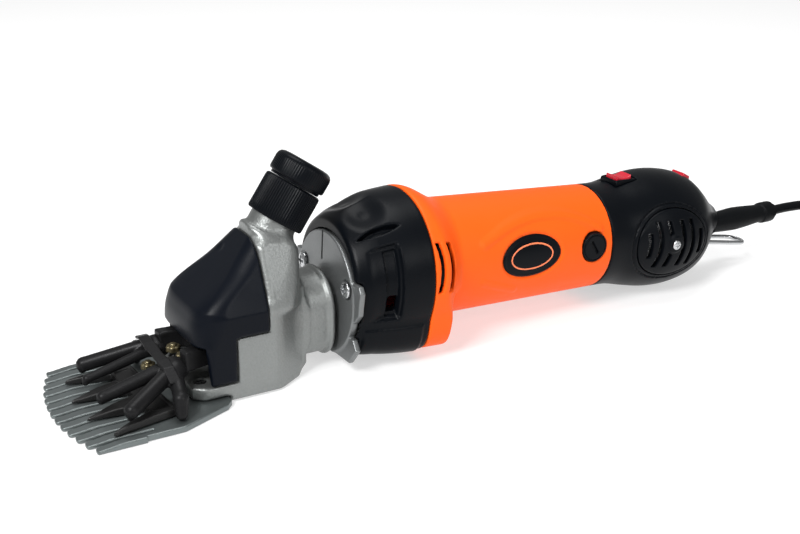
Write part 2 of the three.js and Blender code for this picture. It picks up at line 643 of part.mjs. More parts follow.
function makeMotor() {
  drive.add(piece('stator_core', ring(STATOR_START, STATOR_END, 15.4, 22.4, 28), STEEL));
  for (const [name, sign] of [['field_coil_upper', 1], ['field_coil_lower', -1]]) {
    const outline = [];
    for (let i = 0; i <= 8; i++) {
      const angle = Math.PI * (0.06 + (0.88 * i) / 8);
      outline.push([15 * Math.cos(angle), sign * 15 * Math.sin(angle)]);
    }
    for (let i = 8; i >= 0; i--) {
      const angle = Math.PI * (0.06 + (0.88 * i) / 8);
      outline.push([12.7 * Math.cos(angle), sign * 12.7 * Math.sin(angle)]);
    }
    drive.add(piece(name, front(outline, STATOR_START - 5, STATOR_END + 5), COPPER));
  }
  drive.add(piece('armature', ring(STATOR_START, STATOR_END, SHAFT_RADIUS + GAP, 12, 28), STEEL));
  drive.add(piece('commutator', ring(BRUSH_S - 6, BRUSH_S + 6, SHAFT_RADIUS + GAP, 8.6, 24), COPPER));
  const steps = [[-31.2, 0], [-31.2, 2.4], [-24.6, 2.4], [-24.6, SHAFT_RADIUS], [98, SHAFT_RADIUS], [98, 3],
    [105, 3], [105, 0]];
  const shaft = solid(turned(steps, 20));
  const pinion = solid(front(gearOutline(PINION_TEETH, -Math.PI / 2), GEAR_S - 0.5, -31));
  drive.add(piece('rotor_shaft', shaft.add(pinion), STEEL));
  drive.add(piece('rotor_bearing_front', ring(-30.4, -25.4, 2.7, 7, 24), STEEL));
  drive.add(piece('rotor_bearing_rear', ring(98.4, 104, 3.3, 9.5, 24), STEEL));
}

function makeFan() {
  const blades = 9;
  let fan = solid(rod(-16, -14, 24, 32)).add(solid(rod(-24, -14, 7, 20)));
  for (let i = 0; i < blades; i++) {
    const blade = box(-23.5, -15, -0.8, 0.8, 6, 24).rotateX((2 * Math.PI * i) / blades);
    fan = fan.add(solid(blade));
  }
  fan = fan.subtract(solid(rod(-30, 0, SHAFT_RADIUS + GAP, 20)));
  drive.add(piece('fan', fan, RED));
}

function makeBrush(sideName, sign) {
  const span = (a, b) => (sign > 0 ? [a, b] : [-b, -a]);
  const brush = box(BRUSH_S - 4, BRUSH_S + 4, ...span(8.9, 17), -2.5, 2.5);
  drive.add(piece(`brush_${sideName}`, brush, CARBON));
  let holder = solid(box(BRUSH_S - 5.6, BRUSH_S + 5.6, ...span(10.4, 19.6), -4.1, 4.1));
  holder = holder.subtract(solid(box(BRUSH_S - 4.3, BRUSH_S + 4.3, ...span(5, 25), -2.8, 2.8)));
  drive.add(piece(`brush_holder_${sideName}`, holder, COPPER));
  const profile = [pt(0, 20), pt(6.7, 20), pt(6.7, 25.6), pt(6.1, 26.2), pt(0, 26.2)];
  let cap = solid(new THREE.LatheGeometry(profile, 24).scale(1, sign, 1).translate(BRUSH_S, 0, BRUSH_CAP_H));
  const slot = box(BRUSH_S - 0.9, BRUSH_S + 0.9, ...span(25, 28), BRUSH_CAP_H - 4.6, BRUSH_CAP_H + 4.6);
  cap = cap.subtract(solid(slot));
  drive.add(piece(`brush_cap_${sideName}`, cap, BLACK));
}

// --------------------------------------------------------------- rear pieces

function makeVent(sideName, sign) {
  const profile = [pt(0, 0), pt(16.5, 0), pt(16.5, 2.4), pt(13, 4), pt(0, 4.4)];
  const disc = new THREE.LatheGeometry(profile, 20).scale(1.22, sign, 1);
  let cover = solid(disc.translate(VENT_S, sign * (VENT_Y + 0.2), 0));
  const slots = [-15, -9.4, -3.6, 3.6, 9.4, 15];
  slots.forEach((offset) => {
    const reach = Math.abs(offset) > 12 ? 6 : 10.5;
    const y0 = sign > 0 ? 20 : -32;
    const halves = Math.abs(offset) < 5 ? [[3.6, reach], [-reach, -3.6]] : [[-reach, reach]];
    halves.forEach(([low, high]) => {
      const s0 = VENT_S + offset - 1.2;
      cover = cover.subtract(solid(box(s0, s0 + 2.4, y0, y0 + 12, low, high)));
    });
  });
  cover = cover.subtract(solid(new THREE.CylinderGeometry(1.7, 1.7, 20, 12).translate(VENT_S, sign * 30, 0)));
  drive.add(piece(`vent_cover_${sideName}`, cover, BLACK));
  const screw = [pt(0, 20.5), pt(1.4, 20.5), pt(1.4, 29.3), pt(3, 29.3), pt(2.6, 30.4), pt(0, 30.7)];
  const screwSolid = new THREE.LatheGeometry(screw, 14).scale(1, sign, 1).translate(VENT_S, 0, 0);
  drive.add(piece(`vent_screw_${sideName}`, screwSolid, STEEL));
}

function makeSwitches() {
  let frame = solid(box(109.8, 125.8, -5.9, 5.9, 18, 28.8));
  frame = frame.subtract(solid(box(111.2, 124.4, -4.6, 4.6, 20, 33)));
  drive.add(piece('power_switch_frame', frame, BLACK));
  const rocker = [[112, 22.4], [123.6, 22.4], [123.8, 28.4], [122.6, 30.2], [117.8, 28.2], [113, 30.2],
    [111.8, 28.4]];
  drive.add(piece('power_rocker', side(rocker, -4.2, 4.2), RED));
  const selector = [[148.8, 18], [157.2, 18], [157.4, 25], [155.2, 27.4], [149, 28.6]];
  drive.add(piece('speed_selector', side(selector, -4.4, 4.4), RED));
}

function makeHangLoop() {
  const along = [[0, 5], [10, 5], [LOOP_LENGTH - 7, 5.4], [LOOP_LENGTH - 1.4, 3]];
  const at = (reach, y) => v3(LOOP_S + reach * Math.cos(LOOP_DROP), y, LOOP_H - reach * Math.sin(LOOP_DROP));
  const right = along.map(([reach, y]) => at(reach, -y));
  const left = along.map(([reach, y]) => at(reach, y)).reverse();
  const points = [...right, at(LOOP_LENGTH, 0), ...left];
  const pivot = solid(bar(v3(LOOP_S, -7.6, LOOP_H), v3(LOOP_S, 7.6, LOOP_H), 1.1, 1.1, 8));
  drive.add(piece('hang_loop', solid(tube(points, 1.1, 18, 6)).add(pivot), STEEL));
}

// ---------------------------------------------------------------------- lead

// A point on top of the coil, or beside it, by its angle and radius
function byCoil(degrees, radius, z) {
  const angle = THREE.MathUtils.degToRad(degrees);
  return v3(COIL_CENTRE.x + radius * Math.cos(angle), COIL_CENTRE.y + radius * Math.sin(angle), z);
}

function makeLead() {
  const boot = [[BOOT_START, 0], [BOOT_START, 5.7], [353, 5.9], [371.5, 4.7], [374.5, 5.5], [381, 5.5],
    [BOOT_END, 3.8], [BOOT_END, 0]];
  tool.add(piece('strain_relief_boot', turned(boot, 20, BOOT_Z), RUBBER));
  const top = COIL_HEIGHT + GAP + CORD_RADIUS;
  const route = [v3(BOOT_END + GAP, 0, BOOT_Z), v3(394, 0, BOOT_Z), v3(406, 0, 22.6), v3(419, 0, 21),
    v3(432, 0, 19.1)];
  for (let i = 0; i < 10; i++) route.push(byCoil(115 - 20 * i, 39.5 - 1.5 * i, top));
  tool.add(piece('power_cord', tube(route, CORD_RADIUS, 36, 8), RUBBER));
  const section = [pt(COIL_INNER, 0), pt(COIL_OUTER, 0), pt(COIL_OUTER, COIL_HEIGHT),
    pt(COIL_INNER, COIL_HEIGHT), pt(COIL_INNER, 0)];
  const coil = new THREE.LatheGeometry(section, 32).rotateX(Math.PI / 2);
  tool.add(piece('cord_coil', coil.translate(...COIL_CENTRE.toArray()), RUBBER));
  const low = [[COIL_INNER - 1, 0.2], [COIL_INNER - 1, COIL_HEIGHT + GAP],
    [COIL_OUTER + GAP, COIL_HEIGHT + GAP], [COIL_OUTER + GAP, 0.2], [COIL_OUTER + 1.9, 0.2],
    [COIL_OUTER + 1.9, COIL_HEIGHT + 1.9], [COIL_INNER - 2.6, COIL_HEIGHT + 1.9], [COIL_INNER - 2.6, 0.2]];
  const tie = side(low, -4, 4).rotateZ(THREE.MathUtils.degToRad(157));
  tool.add(piece('cord_tie', tie.translate(...COIL_CENTRE.toArray()), BLACK));
  const lane = COIL_CENTRE.y - COIL_OUTER + CORD_RADIUS + 0.2;
  const leave = COIL_CENTRE.x - 21.5;
  const plugZ = 8.2;
  const tail = [v3(leave, lane, CORD_RADIUS + 0.1), v3(leave - 5, lane, 3.2), v3(leave - 12, lane, 6),
    v3(PLUG_X + 4, lane, plugZ), v3(PLUG_X + GAP, lane, plugZ)];
  tool.add(piece('cord_tail', tube(tail, CORD_RADIUS, 8, 8), RUBBER));
  // Flat two-pin plug: neck, body and pins, lying on the ground
  const outline = [[PLUG_X, -3.8], [PLUG_X, 3.8], [PLUG_X - 14, 6], [PLUG_X - 20, 13], [PLUG_X - 34, 13.4],
    [PLUG_X - 36, 12], [PLUG_X - 36, -12], [PLUG_X - 34, -13.4], [PLUG_X - 20, -13], [PLUG_X - 14, -6]];
  let plug = solid(plan(outline, 0.4, 16).translate(0, lane, 0));
  const taper = [[PLUG_X + 1, 4.2], [PLUG_X - 16, 0.4], [PLUG_X - 40, 0.4], [PLUG_X - 40, 16],
    [PLUG_X - 16, 16], [PLUG_X + 1, 12.2]];
  plug = plug.intersect(solid(side(taper, lane - 20, lane + 20)));
  tool.add(piece('plug_body', plug, RUBBER));
  for (const [name, offset] of [['plug_pin_left', 9.5], ['plug_pin_right', -9.5]]) {
    const pin = rod(PLUG_X - 55, PLUG_X - 36 - GAP, 2, 10).translate(0, lane + offset, plugZ);
    tool.add(piece(name, pin, STEEL));
  }
}

// ------------------------------------------------------------------ assembly

makeComb();
makeCombScrew('comb_screw_left', COMB_SCREW_Y);
makeCombScrew('comb_screw_right', -COMB_SCREW_Y);
makeCutter();
makeFork();
makeFoot('finger_pair_left', 1);
makeFoot('finger_pair_right', -1);
makeFingerClip();
makeFulcrumPost();
makeHeadCasting();
makeFrontCover();
makeTension();
makeCrank();
makeGearPlate();
makePlateScrew('plate_screw_left', 1);
makePlateScrew('plate_screw_right', -1);
makeGearBracket();
makeGearHousing();
makeMotorHousing();
makeMotor();
makeFan();
makeBrush('left', 1);
makeBrush('right', -1);
makeRearHousing();
makeVent('left', 1);
makeVent('right', -1);
makeSwitches();
makeHangLoop();
makeLead();

// The origin lies on the ground under the middle of the tool, without its lead.
tool.position.x = -TOOL_LENGTH / 2;

export default assembly;
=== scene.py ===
"""Sheep shears on a pale floor: a cast shearing head, an orange and black motor body and a coiled lead.

Lengths in this file are millimetres and become metres where a mesh is made. Four frames are used:
TOOL   X from the middle comb tip to the lead, Y to the left, Z up
DRIVE  s along the motor axis, y to the left, h up from the axis
SWING  the fork's own frame, about its fulcrum
KNOB   z along the tension knob's axis
"""

from math import cos, pi, radians, sin

import bpy
import numpy as np
import openvdb
from mathutils import Matrix, Vector


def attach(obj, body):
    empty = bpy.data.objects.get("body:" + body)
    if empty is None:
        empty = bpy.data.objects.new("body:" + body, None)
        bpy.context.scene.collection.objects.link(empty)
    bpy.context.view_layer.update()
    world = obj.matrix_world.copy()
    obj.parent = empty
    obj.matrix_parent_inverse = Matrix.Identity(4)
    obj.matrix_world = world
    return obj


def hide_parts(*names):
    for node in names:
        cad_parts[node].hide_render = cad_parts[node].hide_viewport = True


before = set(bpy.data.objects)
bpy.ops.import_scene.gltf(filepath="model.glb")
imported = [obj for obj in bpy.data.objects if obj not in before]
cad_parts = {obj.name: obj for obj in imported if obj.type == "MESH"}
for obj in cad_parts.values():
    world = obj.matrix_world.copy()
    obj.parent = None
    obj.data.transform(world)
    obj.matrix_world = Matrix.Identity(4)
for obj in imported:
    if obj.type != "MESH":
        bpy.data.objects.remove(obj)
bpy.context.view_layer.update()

# ---- sizes

TOOL_LENGTH = 363.0  # comb tips to the end of the hang loop
COMB_HALF_WIDTH, COMB_TEETH = 38.3, 13
CUTTER_TEETH, CUTTER_PITCH = 4, 17.4
CUTTER_ROOT_X = 30.0  # gaps between the cutter's teeth
CUTTER_UNDERSIDE = 2.9
COMB_SCREW_X, COMB_SCREW_Y = 57, 14
FULCRUM_X = 88  # the fork swings about it
HEAD_HALF_WIDTH = 24.0
HEAD_FRONT_X = 84.3  # the casting's face behind the front cover
NECK_HALF_WIDTH = 14.2
NECK_END_X = 116.6
KNOB_X, KNOB_Z = 97.7, 65.6  # foot of the tension knob
KNOB_LEAN = radians(34.8)
AXIS_X = 160  # s = 0 of the motor axis
AXIS_Z = 36.865  # its height there
PITCH = radians(3.3)  # the motor axis slopes down to the rear
GROUND_SLOPE = 0.0577  # the same slope as a ratio
CRANK_DROP = 16.875  # crank axis below the motor axis
BEARING_RADIUS = 8.3  # room for the crank's front bearing
DISC_H, DISC_RADIUS = -9.4, 26.6  # gear plate
PLATE_SCREW_Y, PLATE_SCREW_H = 20.5, -2
GEARBOX_FRONT_S = -38.6
SPLIT_S = -5.0  # gear housing to motor housing
MOTOR_END_S = 96.0  # motor housing to rear housing
REAR_START_S, TAIL_S = 96.3, 178.0
BADGE_S, BADGE_H = 50.4, 2.8
BRUSH_S, BRUSH_H = 85.4, 2.8
VENT_S, VENT_STRETCH = 131.0, 1.22
LOOP_S, LOOP_H = 168.5, -10.5  # pivot of the hang loop
WALL = 2.4  # plastic housings
BOOT_Z, BOOT_END_X = 23.2, 383.7  # where the lead leaves its strain relief
CORD_RADIUS = 2.5
COIL_X, COIL_Y, COIL_RADIUS = 462.0, -36.0, 40.4
PLUG_Z = 8.2

TOOL = Matrix.Translation((-TOOL_LENGTH / 2, 0, 0))
DRIVE = Matrix.Translation((-21.5, 0, AXIS_Z)) @ Matrix.Rotation(PITCH, 4, "Y")
SWING = Matrix.Translation((FULCRUM_X - TOOL_LENGTH / 2, 0, 0)) @ Matrix.Rotation(radians(5), 4, "Z")
KNOB = Matrix.Translation((KNOB_X - TOOL_LENGTH / 2, 0, KNOB_Z)) @ Matrix.Rotation(KNOB_LEAN, 4, "Y")

# ---- camera

def link(obj):
    bpy.context.scene.collection.objects.link(obj)


AZIMUTH, ELEVATION = radians(-29.4), radians(21.0)
LOOK_AT, DISTANCE = Vector((-0.0246, 0, 0.0336)), 0.5294  # metres
back = Vector((sin(AZIMUTH) * cos(ELEVATION), -cos(AZIMUTH) * cos(ELEVATION), sin(ELEVATION)))
camera_data = bpy.data.cameras.new("camera")
camera_data.lens = 54.0
camera_data.sensor_width = 36.0
camera_data.clip_start = 0.01
camera = bpy.data.objects.new("camera", camera_data)
camera.location = LOOK_AT + back * DISTANCE
camera.rotation_euler = back.to_track_quat("Z", "Y").to_euler()
link(camera)
bpy.context.scene.camera = camera


# ---- materials

SLOT_OF = {}


def material(name, color, rough, metal=0.0, grain=1400.0, bump=0.2, mottle=0.08, stretch=(1, 1, 1),
             coat=0.0, wear=0.0, shine=0.5, slot=None):
    """Procedural finish: fine grain in the bump, slow patches in the colour and in the gloss."""
    mat = bpy.data.materials.new(name)
    SLOT_OF[mat.name] = slot or name
    mat.use_nodes = True
    nodes, links = mat.node_tree.nodes, mat.node_tree.links
    shader = nodes["Principled BSDF"]

    def values(node, **sockets):
        for socket, value in sockets.items():
            node.inputs[socket.replace("_", " ")].default_value = value
        return node

    values(shader, Metallic=metal, Coat_Weight=coat, Coat_Roughness=0.15, Specular_IOR_Level=shine)
    place = nodes.new("ShaderNodeTexCoord")
    scale = values(nodes.new("ShaderNodeMapping"), Scale=stretch)
    links.new(place.outputs["Object"], scale.inputs["Vector"])
    fine = values(nodes.new("ShaderNodeTexNoise"), Scale=grain, Detail=3.0)
    slow = values(nodes.new("ShaderNodeTexNoise"), Scale=45.0, Detail=5.0)
    for noise in (fine, slow):
        links.new(scale.outputs["Vector"], noise.inputs["Vector"])
    # the colour follows six parts of slow noise to four of fine
    blend = nodes.new("ShaderNodeMath")
    blend.operation = "MULTIPLY_ADD"
    blend.inputs[1].default_value = 0.6
    links.new(slow.outputs["Fac"], blend.inputs[0])
    rest = nodes.new("ShaderNodeMath")
    rest.operation = "MULTIPLY"
    rest.inputs[1].default_value = 0.4
    links.new(fine.outputs["Fac"], rest.inputs[0])
    links.new(rest.outputs[0], blend.inputs[2])
    tint = nodes.new("ShaderNodeMix")
    tint.data_type = "RGBA"
    low = [c * (1 - 2.5 * mottle) for c in color]
    high = [min(1.0, c * (1 + 2.5 * mottle) + 0.02 * wear) for c in color]
    tint.inputs[6].default_value = (*low, 1)
    tint.inputs[7].default_value = (*high, 1)
    links.new(blend.outputs[0], tint.inputs[0])
    links.new(tint.outputs[2], shader.inputs["Base Color"])
    gloss = values(nodes.new("ShaderNodeMapRange"), From_Min=0.3, From_Max=0.7,
                   To_Min=max(0.03, rough - 0.06), To_Max=min(1.0, rough + 0.06))
    links.new(slow.outputs["Fac"], gloss.inputs["Value"])
    links.new(gloss.outputs[0], shader.inputs["Roughness"])
    relief = values(nodes.new("ShaderNodeBump"), Strength=bump, Distance=0.00012)
    links.new(fine.outputs["Fac"], relief.inputs["Height"])
    links.new(relief.outputs["Normal"], shader.inputs["Normal"])
    return mat


ORANGE = material("orange_plastic", (0.92, 0.108, 0.007), 0.45, bump=0.1, mottle=0.015, grain=2200,
                  shine=0.14)
BLACK = material("black_plastic", (0.002, 0.0028, 0.0042), 0.34, bump=0.14, grain=2000, shine=0.09)
COVER = material("cover_plastic", (0.0018, 0.003, 0.006), 0.36, bump=0.18, grain=2200, shine=0.11,
                 slot="black_plastic")
CAST = material("cast_aluminium", (0.23, 0.24, 0.235), 0.43, metal=0.8, bump=1.3, grain=1000, mottle=0.12,
                slot="cast_head")
PLATE = material("gear_plate", (0.18, 0.188, 0.19), 0.4, metal=0.7, bump=0.3, grain=1300, mottle=0.1,
                 slot="cast_head")
COMB = material("ground_steel", (0.16, 0.18, 0.18), 0.42, metal=0.8, bump=0.25, stretch=(0.08, 1, 1),
                grain=1500, slot="comb_steel")
DARK_STEEL = material("oxide_steel", (0.008, 0.008, 0.0086), 0.4, metal=0.25, bump=0.35, grain=900,
                      wear=0.3, shine=0.14, slot="fork_steel")
CUTTER = material("cutter_steel", (0.022, 0.022, 0.022), 0.4, metal=0.6, bump=0.3, grain=1000,
                  slot="fork_steel")
BRIGHT = material("bright_steel", (0.55, 0.56, 0.57), 0.22, metal=1.0, bump=0.12, grain=1800)
CORE = material("core_steel", (0.3, 0.3, 0.31), 0.4, metal=0.9, stretch=(6, 1, 1), grain=700)
RED = material("red_plastic", (0.5, 0.012, 0.028), 0.3, bump=0.06, mottle=0.03, coat=0.2, shine=0.3)
# the fan's own red, darkened to about half as painted shade for the dark inside of the gear housing
FAN_RED_SHADED = material("fan_plastic", (0.25, 0.006, 0.012), 0.4, bump=0.06, mottle=0.03, shine=0.3)
COPPER = material("copper", (0.75, 0.3, 0.13), 0.32, metal=0.95, stretch=(1, 5, 5), grain=900)
CARBON = material("carbon", (0.02, 0.02, 0.021), 0.7)
RUBBER = material("rubber", (0.0022, 0.0028, 0.0035), 0.45, bump=0.2, grain=1700, shine=0.11,
                  slot="cord_rubber")
BADGE_MARK = material("badge_print", (0.95, 0.22, 0.09), 0.4, bump=0.05, shine=0.3, slot="orange_plastic")
BRASS = material("brass", (0.2, 0.17, 0.1), 0.35, metal=0.9, slot="bright_steel")


# ---- mesh helpers

def finish_object(obj, mat, body="housing", slot=None, replaces=None, sharp=35.0):
    """Gives a piece its finish, its body and the CAD nodes it stands for; the slot is worked out but not
    given to the piece.

    Unless given, the slot is the finish's own, and a piece called NODE_look stands for NODE.
    """
    slot = slot or SLOT_OF[mat.name]
    if replaces is None:
        replaces = [obj.name.removesuffix("_look")] if obj.name.endswith("_look") else []
    obj.data.materials.append(mat)
    if obj.type == "MESH":
        obj.data.shade_smooth()
        obj.data.set_sharp_from_angle(angle=radians(sharp))
    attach(obj, body)
    if replaces:
        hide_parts(*replaces)
    return obj


def mesh_piece(name, verts, faces, place, mat, body="housing", slot=None, replaces=None, sharp=35.0):
    """A mesh piece from points in millimetres in the frame `place`."""
    points = np.asarray(verts, float)
    turn = np.array(place)
    points = (points @ turn[:3, :3].T + turn[:3, 3]) * 0.001
    mesh = bpy.data.meshes.new(name)
    mesh.from_pydata(points.tolist(), [], faces)
    mesh.update()
    obj = bpy.data.objects.new(name, mesh)
    link(obj)
    return finish_object(obj, mat, body, slot, replaces, sharp)


def lathe(profile, segments=96, ribs=0, rib_depth=None):
    """Turned body about z from (radius, z) points; ribs sink each point by up to its own depth."""
    verts, faces = [], []
    count = len(profile)
    for i in range(segments):
        angle = 2 * pi * i / segments
        wave = 0.5 - 0.5 * cos(ribs * angle) if ribs else 0.0
        for k, (radius, z) in enumerate(profile):
            sink = rib_depth[k] * wave ** 1.5 if rib_depth else 0.0
            verts.append(((radius - sink) * cos(angle), (radius - sink) * sin(angle), z))
    for i in range(segments):
        j = (i + 1) % segments
        for k in range(count - 1):
            faces.append((i * count + k, j * count + k, j * count + k + 1, i * count + k + 1))
    return verts, faces


def polygon(u, v, points):
    """Signed distance to a closed outline in the plane (u, v)."""
    nearest, inside = None, None
    count = len(points)
    for i in range(count):
        (au, av), (bu, bv) = points[i], points[(i + 1) % count]
        eu, ev = bu - au, bv - av
        wu, wv = u - au, v - av
        t = np.clip((wu * eu + wv * ev) / (eu * eu + ev * ev), 0, 1)
        gap = (wu - eu * t) ** 2 + (wv - ev * t) ** 2
        nearest = gap if nearest is None else np.minimum(nearest, gap)
        above, below, left = v >= av, v < bv, eu * wv > ev * wu
        flip = (above & below & left) | (~above & ~below & ~left)
        inside = flip if inside is None else inside ^ flip
    return np.where(inside, -1.0, 1.0) * np.sqrt(nearest)


def union(a, b, r=0.0):
    """Joins two distance fields with a fillet of radius r."""
    if np.isscalar(r) and r <= 0:
        return np.minimum(a, b)
    return np.maximum(r, np.minimum(a, b)) - np.hypot(np.maximum(r - a, 0), np.maximum(r - b, 0))


def inter(a, b, r=0.0):
    return -union(-a, -b, r)


def cut(a, b, r=0.0):
    return inter(a, -b, r)


def slab(w, low, high):
    """Distance to the layer between two values of w."""
    return np.maximum(low - w, w - high)


def smooth(value):
    """Soft step from 0 to 1."""
    t = np.clip(value, 0, 1)
    return t * t * (3 - 2 * t)


class Field:
    """Points on a grid, where a piece is described by its distance function."""

    def __init__(self, low, high, step):
        self.low = np.array(low, float)
        self.step = step
        axes = [np.arange(a, b + step, step, dtype=np.float32) for a, b in zip(low, high)]
        self.x, self.y, self.z = (axes[0][:, None, None], axes[1][None, :, None], axes[2][None, None, :])
        self.shape = tuple(len(a) for a in axes)

    def rod(self, a, b, ra, rb):
        """Rounded bar between two points with two radii."""
        a, b = np.array(a, np.float32), np.array(b, np.float32)
        e = b - a
        t = ((self.x - a[0]) * e[0] + (self.y - a[1]) * e[1] + (self.z - a[2]) * e[2]) / float(e @ e)
        t = np.clip(t, 0, 1)
        gap = ((self.x - a[0] - e[0] * t) ** 2 + (self.y - a[1] - e[1] * t) ** 2
               + (self.z - a[2] - e[2] * t) ** 2)
        return np.sqrt(gap) - (ra + (rb - ra) * t)

    def ball(self, centre, radii):
        q = [(w - c) / r for w, c, r in zip((self.x, self.y, self.z), centre, radii)]
        return (np.sqrt(q[0] ** 2 + q[1] ** 2 + q[2] ** 2) - 1) * min(radii)

    def mesh(self, distance):
        """The zero surface; pieces are closed where they would leave the grid."""
        field = np.ascontiguousarray(np.broadcast_to(distance, self.shape), dtype=np.float32)
        band = 3 * self.step
        field = np.clip(field, -band, band)
        for axis in range(3):
            ends = [slice(None)] * 3
            for k in (0, -1):
                ends[axis] = k
                field[tuple(ends)] = np.maximum(field[tuple(ends)], 0.5 * self.step)
        grid = openvdb.FloatGrid(band)
        grid.copyFromArray(field)
        points, triangles, quads = grid.convertToPolygons(0.0, 0.0)
        faces = [tuple(int(i) for i in f) for f in quads] + [tuple(int(i) for i in f) for f in triangles]
        return points.astype(float) * self.step + self.low, faces


def field_piece(name, grid, distance, place, mat, body="housing", slot=None, replaces=None, even=2):
    """A piece from a distance field, evened out in `even` passes."""
    verts, faces = grid.mesh(distance)
    obj = mesh_piece(name, verts, faces, place, mat, body, slot, replaces, sharp=50.0)
    relax = obj.modifiers.new("even", "SMOOTH")
    relax.factor = 0.5
    relax.iterations = even
    return obj


def carry(node, mat):
    """A CAD node that is shown as it is, with a procedural finish."""
    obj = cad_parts[node]
    obj.data.materials.clear()
    obj.data.materials.append(mat)
    obj.data.set_sharp_from_angle(angle=radians(30))


def screw_head(name, radius, height, place, shank, cross=True):
    """Rounded head on the xy plane of `place` with a cross or a slot; z points out."""
    step = 0.16 if radius < 3 else 0.2
    g = Field((-radius - 1, -radius - 1, -shank - 1), (radius + 1, radius + 1, height + 1), step)
    rho = np.hypot(g.x, g.y)
    dome = height - 0.5 * height * (rho / radius) ** 2
    d = inter(rho - radius, np.maximum(-g.z, g.z - dome), 0.3)
    d = union(d, inter(rho - 0.5 * radius, slab(g.z, -shank, 0.5), 0.1), 0.2)
    if cross:
        reach, half = 0.62 * radius, 0.14 * radius
        recess = np.minimum(np.maximum(slab(g.x, -reach, reach), slab(g.y, -half, half)),
                            np.maximum(slab(g.y, -reach, reach), slab(g.x, -half, half)))
    else:
        recess = np.maximum(slab(g.x, -1.2 * radius, 1.2 * radius), slab(g.y, -0.17 * radius, 0.17 * radius))
    d = cut(d, np.maximum(recess, 0.45 * height - g.z), 0.12)
    field_piece(name, g, d, place, BRIGHT, slot="screw_steel", even=1)


def axis_place(base, origin, toward):
    """A frame at `origin` of `base` whose z points along `toward` of `base`."""
    turn = Vector(toward).to_track_quat("Z", "Y").to_matrix().to_4x4()
    return base @ Matrix.Translation(origin) @ turn


def curve_through(points, count=12):
    """Smooth line through points: Catmull-Rom, as an array."""
    pts = [np.array(p, float) for p in points]
    pts = [2 * pts[0] - pts[1], *pts, 2 * pts[-1] - pts[-2]]
    out = []
    for i in range(1, len(pts) - 2):
        a, b, c, d = pts[i - 1:i + 3]
        for k in range(count):
            t = k / count
            out.append(0.5 * (2 * b + (c - a) * t + (2 * a - 5 * b + 4 * c - d) * t * t
                              + (3 * b - a - 3 * c + d) * t ** 3))
    out.append(pts[-2])
    return np.array(out)


def sweep(path, radius, sides):
    """Round bar along a line."""
    path = np.asarray(path, float)
    tangent = np.gradient(path, axis=0)
    tangent /= np.linalg.norm(tangent, axis=1)[:, None]
    side = np.cross(tangent[0], (0.0, 0.0, 1.0))
    if np.linalg.norm(side) < 1e-3:
        side = np.cross(tangent[0], (0.0, 1.0, 0.0))
    verts, faces = [], []
    for p, t in zip(path, tangent):
        side = side - t * (side @ t)
        side /= np.linalg.norm(side)
        other = np.cross(t, side)
        for k in range(sides):
            a = 2 * pi * k / sides
            verts.append(p + radius * (cos(a) * side + sin(a) * other))
    for i in range(len(path) - 1):
        for k in range(sides):
            j = (k + 1) % sides
            faces.append((i * sides + k, i * sides + j, (i + 1) * sides + j, (i + 1) * sides + k))
    faces.append(tuple(range(sides))[::-1])
    last = (len(path) - 1) * sides
    faces.append(tuple(last + k for k in range(sides)))
    return verts, faces


ALONG = Matrix.Rotation(pi / 2, 4, "Y")  # a lathe about z becomes one about x
OUTWARD = {1: Matrix.Rotation(-pi / 2, 4, "X"), -1: Matrix.Rotation(pi / 2, 4, "X")}
SIDES = (("left", 1), ("right", -1))


# ---- comb and cutter

def make_comb():
    g = Field((-2, -41, -1.5), (68, 41, 4.2), 0.36)
    outer = COMB_HALF_WIDTH - 1.6  # middle of the outermost tooth
    pitch = 2 * outer / (COMB_TEETH - 1)
    yc = -outer + pitch * np.clip(np.round((g.y + outer) / pitch), 0, COMB_TEETH - 1)
    back_of_tip = g.x - 8.4 * (yc / COMB_HALF_WIDTH) ** 2  # the tips lie on a bow
    width = 2.25 + 0.4 * smooth(back_of_tip / 9) - 0.1 * g.z
    tooth = inter(np.abs(g.y - yc) - width, -back_of_tip, 1.3)
    tooth = np.maximum(tooth, g.x - 36)
    outline = [(31, -38.1), (31, 38.1), (42, 37.5), (63, 28.5), (66, 25), (66, -25), (63, -28.5),
               (42, -37.5)]
    d = union(tooth, polygon(g.x, g.y, outline), 0.6)
    d = inter(d, np.abs(g.y) - np.where(g.x < 27, 38.4, 37.4), 0.3)
    for y in (-COMB_SCREW_Y, COMB_SCREW_Y):
        d = cut(d, np.hypot(np.minimum(g.x - 54, 0), g.y - y) - 2.8, 0.2)
    top = 1.5 + 1.1 * smooth(back_of_tip / 12)
    d = inter(d, np.maximum(-g.z, g.z - top), 0.3)
    field_piece("comb_look", g, d, TOOL, COMB, even=1)
    for side, sign in SIDES:
        foot = Matrix.Translation((COMB_SCREW_X, sign * COMB_SCREW_Y, 1.1))
        place = TOOL @ foot @ Matrix.Rotation(pi, 4, "X")
        screw_head(f"comb_screw_{side}_look", 4.9, 0.8, place, shank=6.4, cross=False)


